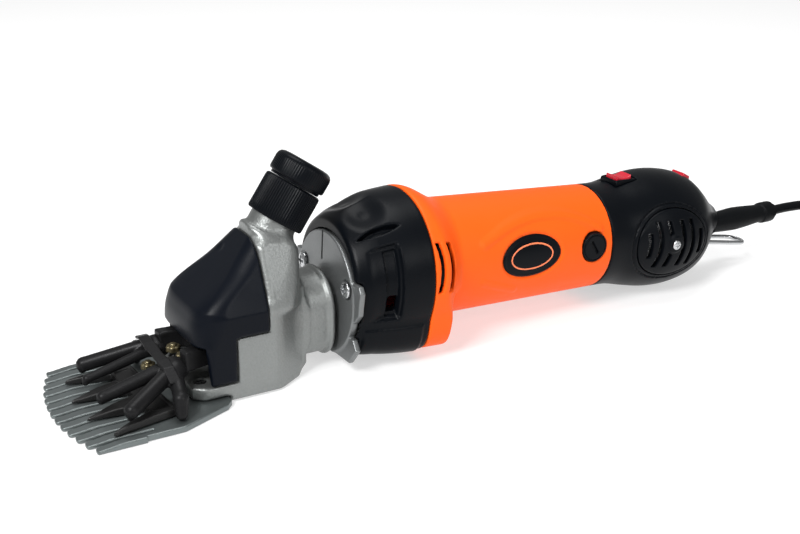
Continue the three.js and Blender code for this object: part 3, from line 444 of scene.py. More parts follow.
def make_cutter():
    g = Field((-81.5, -30, 1.8), (-45.5, 30, 7.0), 0.36)
    outline = []
    middle = (CUTTER_TEETH - 1) / 2
    root = CUTTER_ROOT_X - FULCRUM_X
    for i in range(CUTTER_TEETH):
        y = (i - middle) * CUTTER_PITCH
        tip = 8.6 + 4.2 * (abs(i - middle) / middle) ** 2 - FULCRUM_X
        if i > 0:
            outline.append((root, y * 0.94 - 5.6))
        outline += [(tip + 1.4, y - 0.9), (tip, y), (tip + 1.4, y + 0.9)]
        if i < CUTTER_TEETH - 1:
            outline.append((root, y * 0.94 + 5.6))
    outline += [(-47, 24), (-47, -24)]
    d = polygon(g.x, g.y, outline) + 0.16 * (g.z - CUTTER_UNDERSIDE)
    top = 5.9 - 1.6 * smooth((-66 - g.x) / 13)
    d = inter(d, np.maximum(CUTTER_UNDERSIDE - g.z, g.z - top), 0.35)
    recess = polygon(g.x, np.abs(g.y), [(-49, 4), (-49, 21), (-56, 20), (-58, 12), (-56, 4)])
    d = cut(d, np.maximum(recess, 5.3 - g.z), 0.4)
    field_piece("cutter_look", g, d, SWING, CUTTER, "fork", even=1)


# ---- fork

def make_fork():
    g = Field((-41.5, -18, 12.5), (27, 18, 30), 0.5)
    half = [(10, 0), (10, 5), (12.2, 7.2), (25, 7.2), (25, 9), (9, 9.4), (4, 8.4), (-4, 8.4), (-12, 6.4),
            (-22, 7.4), (-28, 13.4), (-39.4, 15.4), (-39.4, 9.2), (-30, 7.8), (-27, 4.2), (-27, 0)]
    plan = polygon(g.x, np.abs(g.y), half)
    low = inter(plan, slab(g.z, 15, 23.5), 1.0)
    tail = inter(np.maximum(plan, 5.5 - g.x), slab(g.z, 15, 28), 1.0)
    rib = inter(np.maximum(slab(g.x, -24, 2), np.abs(g.y) - 2.2), slab(g.z, 22, 24.2), 1.0)
    d = union(union(low, tail, 1.5), np.maximum(rib, plan), 1.2)
    d = cut(d, np.hypot(g.x, g.y) - 3.35, 0.3)
    field_piece("fork_look", g, d, SWING, DARK_STEEL, "fork")

    g = Field((12, -37, 1.5), (54, 33, 25), 0.45)

    def finger(tip, root, r_tip, r_root):
        """Round bar from its foot on the cutter to its root."""
        foot = (tip[0] - 0.9, tip[1], 7.4)
        return union(g.rod(tip, root, r_tip, r_root), g.rod(tip, foot, 0.85 * r_tip, 1.2), 0.9)

    def finger_pair(side, fingers, toe, knuckle):
        """Two fingers and a toe that meet in a knuckle under the strap."""
        pair = union(*fingers, 1.2)
        pair = union(pair, union(g.ball(*knuckle), union(*toe, 1), 1.6), 1.6)
        field_piece(f"finger_pair_{side}_look", g, pair, TOOL, DARK_STEEL, "fork")

    finger_pair("left", (finger((19.6, 20.3, 10.0), (47, 11.5, 17.2), 3.1, 3.0),
                         finger((17.6, 8.4, 8.9), (46, 8.2, 16.2), 1.9, 2.4)),
                (g.rod((46, 14, 15), (43.6, 25.5, 10.6), 3, 2.6),
                 g.rod((43.6, 25.5, 10.6), (43.4, 26.3, 4.6), 2.6, 2.0)),
                ((48, 10.2, 15.8), (5.4, 6.0, 4.4)))
    finger_pair("right", (finger((18.4, -10.8, 9.1), (46, -12.0, 16.8), 2.5, 3.1),
                          finger((24.2, -29.6, 10.4), (46, -15.6, 16.8), 3.1, 3.4)),
                (g.rod((46, -16.5, 15.5), (43.4, -30.0, 10.6), 3.3, 2.8),
                 g.rod((43.4, -30.0, 10.6), (42.6, -32.2, 5.2), 3.0, 2.4)),
                ((47.6, -13.4, 15.8), (5.2, 6.2, 4.4)))

    g = Field((36, -30, 11), (50, 16, 25), 0.3)
    strap = [(13.6, 21.0), (10, 21.9), (4, 21.3), (-6, 20.9), (-13, 20.9), (-19, 19.6), (-25, 15.4),
             (-24.2, 14.3), (-18.4, 18.3), (-13, 19.7), (-6, 19.7), (4, 20.1), (10, 20.7), (13.0, 19.8)]
    middle = 42.4 + 0.0045 * (g.y + 8) ** 2 * (g.y < -8)
    d = inter(polygon(g.y, g.z, strap), np.abs(g.x - middle) - 2.7 + 0.4 * np.abs(np.sin(g.y / 4.5)), 0.4)
    field_piece("finger_strap_look", g, d, TOOL, DARK_STEEL, "fork", replaces=["finger_spring_clip"])
    verts, faces = lathe([(0, 0), (4.4, 0), (4.6, 0.4), (4.6, 2.0), (4.2, 2.9), (3.5, 3.7), (2.9, 3.8),
                          (2.4, 3.1), (0, 2.5)], 64)
    place = SWING @ Matrix.Translation((-15, 0, 23.8))
    mesh_piece("tension_cup_look", verts, faces, place, BRIGHT, "fork")
    verts, faces = lathe([(0, 0), (2.7, 0), (3, 0.3), (3, 2.0), (2.6, 2.4), (1.6, 2.4), (1.5, 3.0),
                          (1.2, 3.3), (0, 3.4)], 48, 6, [0, 0.4, 0.4, 0.4, 0.4, 0, 0, 0, 0])
    nuts = (("front", (39.4, -3.5, 13.6)), ("left", (50.5, -2.6, 18.4)), ("right", (52, -10.1, 17.6)))
    for name, foot in nuts:
        mesh_piece(f"finger_nut_{name}", verts, faces, TOOL @ Matrix.Translation(foot), BRASS, "fork")
    carry("fulcrum_post", BRIGHT)


# ---- shearing head

def knob_coords(g):
    """Distance from the knob's axis and height along it."""
    along = (g.x - KNOB_X) * sin(KNOB_LEAN) + (g.z - KNOB_Z) * cos(KNOB_LEAN)
    across = (g.x - KNOB_X) * cos(KNOB_LEAN) - (g.z - KNOB_Z) * sin(KNOB_LEAN)
    return np.hypot(across, g.y), along


def rounded_bar(u, v, half_u, half_v, r):
    """Distance to a rectangle with round corners."""
    qu, qv = np.abs(u) - half_u + r, np.abs(v) - half_v + r
    return np.hypot(np.maximum(qu, 0), np.maximum(qv, 0)) + np.minimum(np.maximum(qu, qv), 0) - r


def gable(g, half, low, shoulder, half_top, top):
    """Distance to the head's outline seen from the front: upright sides, then two slopes."""
    return polygon(g.y, g.z, [(-half, low), (half, low), (half, shoulder), (half_top, top), (-half_top, top),
                              (-half, shoulder)])


def make_head():
    """The casting: base, tower, neck barrel with flange, and the boss under the knob."""
    g = Field((49, -27, -1.5), (121, 27, 82), 0.55)
    rho, along = knob_coords(g)
    wide, neck = HEAD_HALF_WIDTH, NECK_HALF_WIDTH
    plan = [(51.5, -19), (57, -wide), (87, -wide), (102, -neck), (117, -neck), (117, neck), (102, neck),
            (87, wide), (57, wide), (51.5, 19)]
    profile = [(50, 2.9), (66.3, 2.9), (66.3, 0.4), (100, 0.4), (104, 5), (118, 5), (118, 40), (70, 40),
               (70, 8.4), (50, 8.4)]
    base = inter(polygon(g.x, g.y, plan), polygon(g.x, g.z, profile), 0.9)
    base = np.maximum(base, g.x - 104)
    ellipse = np.where(g.x > FULCRUM_X, (np.hypot((g.x - FULCRUM_X) / 17.2, g.y / wide) - 1) * 17.2,
                       np.abs(g.y) - wide)
    tower_side = [(84, 33), (106, 33), (106, 54), (98, 62.5), (88, 62.5), (84.3, 60)]
    tower = inter(ellipse, polygon(g.x, g.z, tower_side), 2.2)
    head = inter(union(base, tower, 1.5), gable(g, wide, -3, 36.5, 7.1, 74.5), 3.0)
    barrel = np.maximum(rounded_bar(g.y, g.z - 22.6, neck + 1.2, 18.0, 14), slab(g.x, 92, NECK_END_X))
    head = union(head, barrel, 2.2)
    flange = inter(rounded_bar(g.y, g.z - 22.4, neck + 2.4, 19.2, 15), slab(g.x, 114.6, NECK_END_X), 0.7)
    head = union(head, flange, 1.2)
    boss = polygon(rho, along, [(-5, -30), (11, -30), (11, -8), (10, -6), (10, 12), (-5, 12)])
    head = union(head, boss, 3.5)
    head = union(head, np.hypot(rho - 10.0, along + 7.4) - 1.9, 0.9)  # bead under the knob
    thread = 0.25 * np.abs(((along / 1.5) % 1.0) - 0.5) * (along > 0.2)
    head = head + np.where(rho < 10.6, thread, 0)
    head = cut(head, np.maximum(g.x - HEAD_FRONT_X, 27 - g.z), 0.4)
    # room inside for the fork, the tension pin, the crank's bearing and the comb screws
    room = [(40, -19.5), (84, -19.5), (98, -12), (114.6, -12), (114.6, 12), (98, 12), (84, 19.5), (40, 19.5)]
    low = 8.4 + 2.0 * smooth((g.x - 90) / 7)
    head = cut(head, inter(polygon(g.x, g.y, room), np.maximum(low - g.z, g.z - 33), 1.0), 0.5)
    bore = [(-5, -60), (3.2, -60), (3.2, -11), (7, -11), (7, 14), (-5, 14)]
    head = cut(head, polygon(rho, along, bore), 0.2)
    s = (g.x - AXIS_X) * cos(PITCH) - (g.z - AXIS_Z) * sin(PITCH)
    h = (g.x - AXIS_X) * sin(PITCH) + (g.z - AXIS_Z) * cos(PITCH)
    head = cut(head, np.maximum(np.hypot(g.y, h + CRANK_DROP) - BEARING_RADIUS, slab(s, -50, -38)), 0.3)
    for y in (-COMB_SCREW_Y, COMB_SCREW_Y):
        hole = np.hypot(g.x - COMB_SCREW_X, g.y - y) - 2.7
        head = cut(head, np.maximum(hole, slab(g.z, -4, 8.8)), 0.2)
    field_piece("head_casting_look", g, head, TOOL, CAST)


def make_front_cover():
    g = Field((48.5, -26, 6.5), (86.5, 26, 67), 0.45)
    outer = [(92, 70.3), (62, 38.8), (57.2, 25), (58.5, 8.7), (69.7, 8.7), (69.7, 27.3), (92, 27.3)]
    step = [(40, 8.7), (69.7, 8.7), (69.7, 27.3), (90, 27.3), (90, 75), (40, 75)]
    inner = [(92, 66.4), (64.6, 38), (60, 25), (40, 25), (40, 5), (92, 5)]
    wide = HEAD_HALF_WIDTH + 0.2
    outside = gable(g, wide, 0, 36.5, 7.3, 74.5)
    inside = gable(g, wide - 2.2, 0, 36, 8.8, 64)
    soft = 1.5 + 5.0 * smooth((g.z - 30) / 26)
    # the front is bowed: its middle stands forward of its sides
    bow = (9 * np.clip(np.abs(g.y) / HEAD_HALF_WIDTH, 0, 1.1) ** 6 - 6) * smooth((g.z - 12) / 22)
    bow = bow * (1 - 0.8 * smooth((g.z - 36) / 16))
    shell = inter(polygon(g.x - bow, g.z, outer), outside, soft)
    shell = inter(shell, np.maximum(g.x - 84, polygon(g.x, g.z, step)), 0.5)
    # a shallow hollow in the slanting face, and a nick in its far edge
    shell = cut(shell, g.ball((27.7, 0, 88.2), (54.6, 90, 54.6)), 3.0)
    shell = cut(shell, g.ball((74.0, 7.0, 57.2), (3.6, 4.0, 3.2)), 0.6)
    d = cut(shell, np.maximum(polygon(g.x - bow, g.z, inner), inside), 0.3)
    field_piece("front_cover_look", g, d, TOOL, COVER)


# ---- tension knob

def make_knob():
    skirt = [(0, 13.6), (10.4, 13.6), (10.4, 0.6), (10.9, 0), (11.9, 0.1), (12.3, 0.7), (12.3, 3),
             (12.3, 14.8), (12.1, 15.9), (11.4, 16.4), (0, 16.4)]
    depth = [0, 0, 0, 0, 0.1, 0.3, 0.3, 0.3, 0.2, 0, 0]
    verts, faces = lathe(skirt, 576, 72, depth)
    mesh_piece("tension_knob_look", verts, faces, KNOB, BLACK, "knob")
    cap = [(0, 16.7), (10.9, 16.7), (11.0, 17.9), (11.9, 18.0), (12.3, 18.5), (12.4, 19.5), (12.4, 24.1),
           (12.1, 25.4), (11.3, 26.4), (9.9, 27.0), (7.5, 27.2), (7.1, 26.9), (0, 26.9)]
    depth = [0, 0, 0, 0, 0, 0.12, 0.12, 0.08, 0, 0, 0, 0, 0]
    verts, faces = lathe(cap, 576, 72, depth)
    mesh_piece("tension_knob_cap_look", verts, faces, KNOB, BLACK, "knob")
    carry("tension_pin", BRIGHT)
    carry("tension_spring", BRIGHT)


# ---- gearbox

def plate_lobes(g):
    """Distance, seen from the front, to the ears and lugs of the gear plate."""
    ear = [(20, 2.5), (29.6, 2.0), (31.4, -0.5), (30.4, -10.5), (27, -14.5), (20, -17)]
    lug = [(14, -22), (26, -22.4), (29.4, -26.6), (23.4, -34), (10, -34.4)]
    blunt, wide = 0.8, np.abs(g.y)
    return union(polygon(wide, g.z, ear) + blunt, polygon(wide, g.z, lug) + blunt, 2.0) - blunt


def plate_screw_gap(g):
    """Distance from the axis of the nearer of the two plate screws."""
    return np.hypot(np.abs(g.y) - PLATE_SCREW_Y, g.z - PLATE_SCREW_H)


def below_ground(g):
    """Positive for points of the motor frame closer than 0.7 mm to the ground."""
    return 0.7 - AXIS_Z - g.z + GROUND_SLOPE * g.x


def make_gear_plate():
    g = Field((-42, -36, -39), (-34.5, 36, 20), 0.4)
    disc = np.maximum(np.hypot(g.y, g.z - DISC_H) - DISC_RADIUS, -34.4 - g.z)
    disc = inter(disc, slab(g.x, -40, -36.6), 0.5)
    lobes = inter(plate_lobes(g), slab(g.x, -39.2, -36.6), 0.6)
    d = union(disc, lobes, 0.6)
    seam = np.maximum(np.abs(g.y - 3) - 0.22, np.maximum(g.x + 39.5, 4 - g.z))
    d = cut(d, seam, 0.15)
    d = cut(d, np.hypot(g.y, g.z + CRANK_DROP) - BEARING_RADIUS, 0.4)
    d = cut(d, plate_screw_gap(g) - 2.0, 0.2)
    d = cut(d, np.maximum(plate_screw_gap(g) - 4.2, g.x + 39.2), 0.3)
    field_piece("gear_plate_look", g, d, DRIVE, PLATE)
    for side, sign in SIDES:
        place = axis_place(DRIVE, (-39.6, sign * PLATE_SCREW_Y, PLATE_SCREW_H), (-1, 0, 0))
        screw_head(f"plate_screw_{side}_look", 3.5, 2.4, place, shank=5.5)


def skin(g, table, centres):
    """Distance to a round skin about s whose radius and centre height vary along s."""
    s = g.x[:, 0, 0]
    line = curve_through(table, 8)
    radius = np.interp(s, line[:, 0], line[:, 1])[:, None, None].astype(np.float32)
    height = np.interp(s, *zip(*centres))[:, None, None].astype(np.float32)
    slope = np.gradient(radius[:, 0, 0], g.step)[:, None, None]
    rho = np.hypot(g.y, g.z - height)
    angle = np.degrees(np.arctan2(g.z - height, np.abs(g.y)))
    return (rho - radius) / np.sqrt(1 + slope ** 2), angle, rho


def corner_bulge(angle):
    """Share of the bulge that squares the lower corners of the round skins."""
    return smooth(1 - np.abs(angle + 46) / 26)


def make_gear_housing():
    g = Field((-40, -38.5, -40.5), (-3.6, 38.5, 35.5), 0.5)
    table = [(GEARBOX_FRONT_S, 27.8), (-36.3, 29.2), (-28, 32.1), (-17, 34.1), (-5.3, 34.9)]
    centres = [(GEARBOX_FRONT_S, -5.7), (-36.3, -5.2), (-28, -3.3), (-17, -2.3), (-5.3, -1.6)]
    outer, angle, rho = skin(g, table, centres)
    arc = angle * (pi / 180) * 33
    s = g.x
    # a finger hollow on top, a low ledge near the ground, and fuller lower corners
    hollow = np.hypot((s + 27.0) / 8.0, (angle - 74) / 21)
    outer = outer + 2.6 * smooth(np.clip(1.2 - hollow, 0, 1))
    ledge = smooth(0.5 - np.maximum(slab(s, -34.5, -8.5), slab(arc, -36, -15.4)) / 0.6)
    outer = outer - 0.8 * ledge
    outer = (outer - corner_bulge(angle) * (3.4 + 0.05 * (s + 36))) * 0.97
    # a lens-shaped dent above the panel
    lens = np.maximum(np.hypot(s + 26, arc - 29.4 + 20) - 21.9, np.hypot(s + 26, arc - 29.4 - 20) - 21.9)
    outer = outer + 3.4 * smooth(0.5 - lens / 0.8)
    # a panel sinks towards a deep slot behind its far edge
    panel = np.maximum(slab(s, -33.5, -20.6), slab(arc, -11.5, 22.0))
    outer = outer + 1.8 * smooth((s + 34) / 8) * smooth(0.5 - panel / 0.5)
    slot = rounded_bar(s + 23.0, arc - 4.8, 3.2, 15.4, 0.6)
    outer = outer + 1.6 * smooth(0.5 - slot / 0.5)
    body = np.maximum(outer, np.minimum(-(outer + 3.6), s + 35.6))
    body = inter(body, slab(s, GEARBOX_FRONT_S, -5.3), 0.9)
    # the seat of the gear plate, room for the fan, and a small window onto it
    seat = np.minimum(np.hypot(g.y, g.z - DISC_H), np.hypot(g.y, g.z + 12)) - 27.0
    body = cut(body, np.maximum(np.maximum(seat, -36.0 - g.z), s + 34), 0.4)
    body = cut(body, np.maximum(np.hypot(g.y, g.z) - 25.0, slab(s, -26, -12)), 0.3)
    body = cut(body, np.maximum(plate_lobes(g) - 0.4, s + 36.3), 0.3)
    window = rounded_bar(s + 23.0, arc + 5.2, 2.0, 4.0, 0.6)
    body = cut(body, np.maximum(window, 15 - rho), 0.4)
    body = cut(body, np.maximum(plate_screw_gap(g) - 1.9, s + 30), 0.2)
    body = np.maximum(body, below_ground(g))
    field_piece("gear_housing_look", g, body, DRIVE, BLACK)
    verts, faces = lathe([(0, -0.2), (0.75, -0.2), (0.7, 0.3), (0.4, 0.55), (0, 0.6)], 24)
    a = radians(-27)
    for side, sign in SIDES:
        foot = (-12.5, sign * 34.4 * cos(a), -2 + 34.4 * sin(a))
        place = axis_place(DRIVE, foot, (0, sign * cos(a), sin(a)))
        mesh_piece(f"housing_pin_{side}", verts, faces, place, BRIGHT)


def make_gears():
    """The gears and the motor's inner pieces are shown as they are in the CAD."""
    steel = ("crankshaft", "crank_gear", "rotor_shaft", "crank_bearing_front", "crank_bearing_rear",
             "rotor_bearing_front", "rotor_bearing_rear")
    copper = ("commutator", "field_coil_upper", "field_coil_lower", "brush_holder_left", "brush_holder_right")
    for nodes, mat in ((steel, BRIGHT), (["gear_bracket"], CAST), (["fan"], FAN_RED_SHADED), (copper, COPPER),
                       (["stator_core", "armature"], CORE), (["brush_left", "brush_right"], CARBON)):
        for node in nodes:
            carry(node, mat)


# ---- motor housing

def badge_coords(g):
    """Length and height in the badge's own slightly tilted frame."""
    tilt = radians(3)
    u = (g.x - BADGE_S) * cos(tilt) + (g.z - BADGE_H) * sin(tilt)
    v = -(g.x - BADGE_S) * sin(tilt) + (g.z - BADGE_H) * cos(tilt)
    return u, v


def oval(u, v, a, b):
    """Distance to an ellipse, good near its edge."""
    k = np.hypot(u / a, v / b)
    return (k - 1) * k / np.maximum(np.hypot(u / a ** 2, v / b ** 2), 1e-4)


def motor_skin(g):
    """Distance to the grip with its collar, which reaches further back at the top than at the side."""
    s = g.x
    angle = np.degrees(np.arctan2(g.z + 0.8, np.abs(g.y)))
    t = smooth((angle - 12) / 62)
    low = smooth((-8 - angle) / 22)
    start, length = 0.8 - 4.8 * t + 4.6 * low, 13.0 + 5.6 * t - 8.4 * low
    collar = 1 - smooth((s - start) / length)
    grip = 24.6 + (26.2 - 24.6) * np.clip((MOTOR_END_S - s) / 82, 0, 1)
    radius = grip + 8.75 * collar + corner_bulge(angle) * 4.8 * collar
    rho = np.hypot(g.y, g.z + 1.6 * collar)
    return (rho - radius) / np.sqrt(1 + (0.75 * (collar > 0.01) * (collar < 0.99)) ** 2), angle, rho


def make_motor_housing():
    g = Field((-6.6, -39.5, -39.5), (98, 39.5, 35.5), 0.55)
    outer, angle, rho = motor_skin(g)
    # a raised arc over the badge and a lower ridge in front of it
    track = curve_through([(25, 11), (38, 16.2), (51, 18.8), (62, 19.2), (73, 17.8), (82, 14.8), (89, 11)], 3)
    nearest = None
    for a, b in zip(track[:-1], track[1:]):
        e = b - a
        k = np.clip(((g.x - a[0]) * e[0] + (g.z - a[1]) * e[1]) / (e @ e), 0, 1)
        gap = np.hypot(g.x - a[0] - e[0] * k, g.z - a[1] - e[1] * k)
        nearest = gap if nearest is None else np.minimum(nearest, gap)
    fade = np.clip((np.abs(g.y) - 4) / 6, 0, 1)
    outer = outer - 0.75 * smooth(1.3 - nearest / 2.2) * fade
    lower = np.hypot(np.maximum(np.abs(g.x - 34) - 9, 0), g.z + 8 + 0.35 * (g.x - 30))
    outer = outer - 0.55 * smooth(1.3 - lower / 2.0) * fade
    badge_seat = oval(*badge_coords(g), 16.6, 10.1)
    outer = outer + 0.9 * smooth(0.5 - badge_seat / 0.9) * fade
    body = np.maximum(outer, -(outer + WALL))
    body = inter(body, slab(g.x, SPLIT_S, MOTOR_END_S), 0.35)
    body = np.maximum(body, below_ground(g))
    for s0, half in ((-2.2, 1.15), (3.6, 1.6)):
        bend = s0 + 0.8 - 1.4 * ((angle - 13) / 18) ** 2
        slot = np.maximum(np.abs(g.x - bend) - half, np.abs(angle - 13) * 0.58 - 10.6)
        body = cut(body, np.maximum(slot, 15 - rho), 0.35)
    # a black sheet behind the slots of each side, painted shade for the dark inside of the housing
    shade_sheet = np.maximum(np.abs(rho - 28.5) - 0.5, slab(g.x, SPLIT_S + 0.5, 5.2))
    shade_sheet = np.maximum(shade_sheet, np.abs(angle - 13) * 0.5 - 11)
    field_piece("slot_shade_sheets", g, shade_sheet, DRIVE, BLACK)
    hole = np.hypot(g.x - BRUSH_S, g.z - BRUSH_H) - 7.1
    body = cut(body, np.maximum(hole, 5 - np.abs(g.y)), 0.5)
    field_piece("motor_housing_look", g, body, DRIVE, ORANGE)


def make_badge(side, sign):
    """Black oval with a plain oval ring on it."""
    y0, y1 = (20, 30) if sign > 0 else (-30, -20)
    g = Field((32.5, y0, -9), (68.5, y1, 15), 0.3)
    outer, _, _ = motor_skin(g)
    u, v = badge_coords(g)
    rim = oval(u, v, 15.9, 9.4)
    face = outer + 0.15 - 0.45 * smooth(0.5 - np.abs(oval(u, v, 14.9, 8.5)) / 1.4)
    disc = inter(rim, np.maximum(face + 0.25, -(outer + 1.6)), 0.25)
    field_piece(f"badge_{side}", g, disc, DRIVE, BLACK)
    ring = np.abs(oval(u, v, 11.2, 5.6)) - 0.45
    mark = inter(ring, np.maximum(face + 0.1, -(face + 0.5)), 0.1)
    field_piece(f"badge_mark_{side}", g, mark, DRIVE, BADGE_MARK)


def make_brush_cap(side, sign):
    g = Field((-8, -8, 19), (8, 8, 27.2), 0.25)
    r = np.hypot(g.x, g.y)
    cap = inter(r - 6.8, slab(g.z, 20, 24.9), 0.4)
    cap = cut(cap, inter(np.abs(r - 5.9) - 0.18, 24.4 - g.z, 0.1), 0.1)
    across = g.x * cos(radians(35)) + g.y * sin(radians(35))
    cap = cut(cap, np.maximum(np.abs(across) - 0.65, np.maximum(r - 3.6, 23.6 - g.z)), 0.2)
    place = DRIVE @ Matrix.Translation((BRUSH_S, 0, BRUSH_H)) @ OUTWARD[sign]
    field_piece(f"brush_cap_{side}_look", g, cap, place, BLACK, even=1)


# ---- rear housing

def rear_skin(g):
    """Distance to the rear housing's egg-shaped skin."""
    radii = [(REAR_START_S, 24.6), (107, 24.8), (118, 26.9), (127, 28.5), (134, 29.0), (141, 28.7),
             (149, 27.3), (156, 24.6), (163, 19.3), (169, 14.0), (174, 9.9), (TAIL_S, 7.3)]
    return skin(g, radii, [(90, 0), (190, 0)])[0]


def make_rear_housing():
    g = Field((95, -31, -31), (183, 31, 32), 0.5)
    outer = rear_skin(g)
    body = np.maximum(outer, -(outer + WALL))
    body = inter(body, slab(g.x, REAR_START_S, TAIL_S), 0.5)
    body = np.minimum(body, np.maximum(outer, slab(g.x, 173.5, TAIL_S)))
    # the vent's opening, with a fine groove round it
    vent = np.hypot((g.x - VENT_S) / VENT_STRETCH, g.z)
    body = cut(body, np.maximum(np.maximum(np.abs(vent - 18.4) - 0.3, -outer - 0.7), 12 - np.abs(g.y)), 0.3)
    body = cut(body, np.maximum(vent - 16.7, 15 - np.abs(g.y)), 0.5)
    # openings for the rocker's frame and the speed selector
    for low, high, wide in ((109.4, 122.2, 6.3), (151.0, 158.4, 5.0)):
        body = cut(body, np.maximum(np.maximum(slab(g.x, low, high), np.abs(g.y) - wide), 10 - g.z), 0.4)
    # the hang loop's block, its room to swing, and its bore
    block = inter(np.maximum(np.abs(g.y) - 8.6, slab(g.x, LOOP_S - 3.5, LOOP_S + 2.6)),
                  slab(g.z, LOOP_H - 2.6, LOOP_H + 3.4), 0.8)
    body = union(body, block, 1.0)
    swing = np.maximum(slab(g.x, LOOP_S - 2.2, LOOP_S + 20), slab(g.z, LOOP_H - 12, LOOP_H + 1.6))
    body = cut(body, np.maximum(np.abs(g.y) - 6.6, swing), 0.3)
    pivot = np.maximum(np.hypot(g.x - LOOP_S, g.z - LOOP_H) - 1.45, np.abs(g.y) - 7.9)
    body = cut(body, pivot, 0.1)
    field_piece("rear_housing_look", g, body, DRIVE, BLACK)


def make_vent(side, sign):
    """Slotted cover with a closed black back as painted shade for the dark inside, a wire mesh behind its
    slots, and its screw.
    """
    y0, y1 = (19.5, 31) if sign > 0 else (-31, -19.5)
    g = Field((108, y0, -19), (154, y1, 19), 0.32)
    k = np.hypot((g.x - VENT_S) / VENT_STRETCH, g.z) - 16.4
    face = rear_skin(g) - 0.15
    cover = inter(k, np.maximum(np.maximum(face, -(face + 2.6)), 21.4 - np.abs(g.y)), 0.5)
    hub = np.hypot(g.x - VENT_S, g.z)
    cover = union(cover, inter(hub - 3.9, slab(np.abs(g.y), 26.4, 29.2), 0.4), 0.6)
    for offset, reach in ((-15, 6.0), (-9.4, 11.2), (-3.6, 11.2), (3.6, 11.2), (9.4, 11.2), (15, 6.0)):
        bend = VENT_S + offset + 1.7 * (1 - (g.z / 11) ** 2)
        slot = np.maximum(np.abs(g.x - bend) - 1.25, np.abs(g.z) - reach)
        if abs(offset) < 5:
            slot = np.maximum(slot, 5.0 - hub)
        cover = cut(cover, slot, 0.35)
    cover = cut(cover, hub - 1.7, 0.2)
    # the closed back: a black sheet behind the slots and the mesh, painted shade for the dark inside of the
    # housing
    cover = np.minimum(cover, np.maximum(k + 0.2, slab(np.abs(g.y), 20.4, 21.45)))
    field_piece(f"vent_cover_{side}_look", g, cover, DRIVE, BLACK, even=1)
    verts, faces = [], []

    def wire(x0, x1, z0, z1, depth):
        """Flat wire: a thin box."""
        base, thin = len(verts), 0.13
        for y in (depth - thin, depth + thin):
            verts.extend([(x0, sign * y, z0), (x1, sign * y, z0), (x1, sign * y, z1), (x0, sign * y, z1)])
        for f in ((0, 1, 2, 3), (4, 7, 6, 5), (0, 4, 5, 1), (1, 5, 6, 2), (2, 6, 7, 3), (3, 7, 4, 0)):
            faces.append(tuple(base + i for i in f))

    pitch, half = 1.05, 0.16
    for i in range(-17, 18):
        x = i * pitch
        reach = 13.5 * max(0.0, 1 - (x / 18.5) ** 2) ** 0.5
        wire(VENT_S + x - half, VENT_S + x + half, -reach, reach, 21.9)
    for i in range(-13, 14):
        z = i * pitch
        reach = 18.0 * max(0.0, 1 - (z / 14) ** 2) ** 0.5
        wire(VENT_S - reach, VENT_S + reach, z - half, z + half, 21.6)
    mesh_piece(f"vent_mesh_{side}", verts, faces, DRIVE, BRIGHT)
    place = DRIVE @ Matrix.Translation((VENT_S, sign * 29.25, 0)) @ OUTWARD[sign]
    screw_head(f"vent_screw_{side}_look", 2.3, 1.3, place, shank=7.5)


def make_switches():
    g = Field((108, -8, 16), (128, 8, 31.5), 0.3)
    rim = 27.2 - 0.6 * smooth((112 - g.x) / 4)
    d = inter(np.maximum(slab(g.x, 109.8, 121.8), np.abs(g.y) - 5.9), np.maximum(18 - g.z, g.z - rim), 0.6)
    d = cut(d, np.maximum(np.maximum(slab(g.x, 111.0, 120.8), np.abs(g.y) - 4.6), 20 - g.z), 0.3)
    field_piece("power_switch_frame_look", g, d, DRIVE, BLACK)
    g = Field((110, -6, 20.5), (126, 6, 32.5), 0.25)
    dip = 28.9 - 1.4 * (1 - ((g.x - 115.9) / 4.4) ** 2)
    d = inter(np.maximum(slab(g.x, 111.5, 120.3), np.maximum(22.4 - g.z, g.z - dip)), np.abs(g.y) - 4.2, 0.5)
    field_piece("power_rocker_look", g, d, DRIVE, RED, "power_rocker", even=1)
    g = Field((147, -6, 16.5), (159, 6, 30), 0.25)
    top = 26.6 - np.where(g.x > 154, 0.5, 1.1) * np.abs(g.x - 154) + 0.15 * np.cos(g.x * 4.2)
    d = inter(np.maximum(slab(g.x, 151.6, 157.6), np.maximum(18 - g.z, g.z - top)), np.abs(g.y) - 4.4, 0.5)
    field_piece("speed_selector_look", g, d, DRIVE, RED, "speed_selector", even=1)


def make_hang_loop():
    drop = radians(7)

    def at(reach, y):
        return LOOP_S + reach * cos(drop), y, LOOP_H - reach * sin(drop)

    along = [(0, 5), (6, 5), (14, 5.1), (24, 5.4), (30.5, 5.1), (33.4, 3.4)]
    points = [at(r, -y) for r, y in along] + [at(34.6, 0)] + [at(r, y) for r, y in reversed(along)]
    ends = [[(LOOP_S, sign * y, LOOP_H) for y in (7.5, 6.1)] for sign in (-1, 1)]
    line = curve_through([*ends[0], *points, *reversed(ends[1])], 8)
    verts, faces = sweep(line, 1.1, 16)
    mesh_piece("hang_loop_look", verts, faces, DRIVE, BRIGHT, "hang_loop")
    verts, faces = sweep([(LOOP_S, y, LOOP_H) for y in (-7.6, -3, 3, 7.6)], 1.05, 16)
    mesh_piece("hang_loop_pivot", verts, faces, DRIVE, BRIGHT, "hang_loop")


# ---- lead

def coil_point(turn, radius, z):
    """Point of the coil at a turn in degrees."""
    a = radians(turn)
    return (COIL_X + radius * cos(a), COIL_Y + radius * sin(a), z)


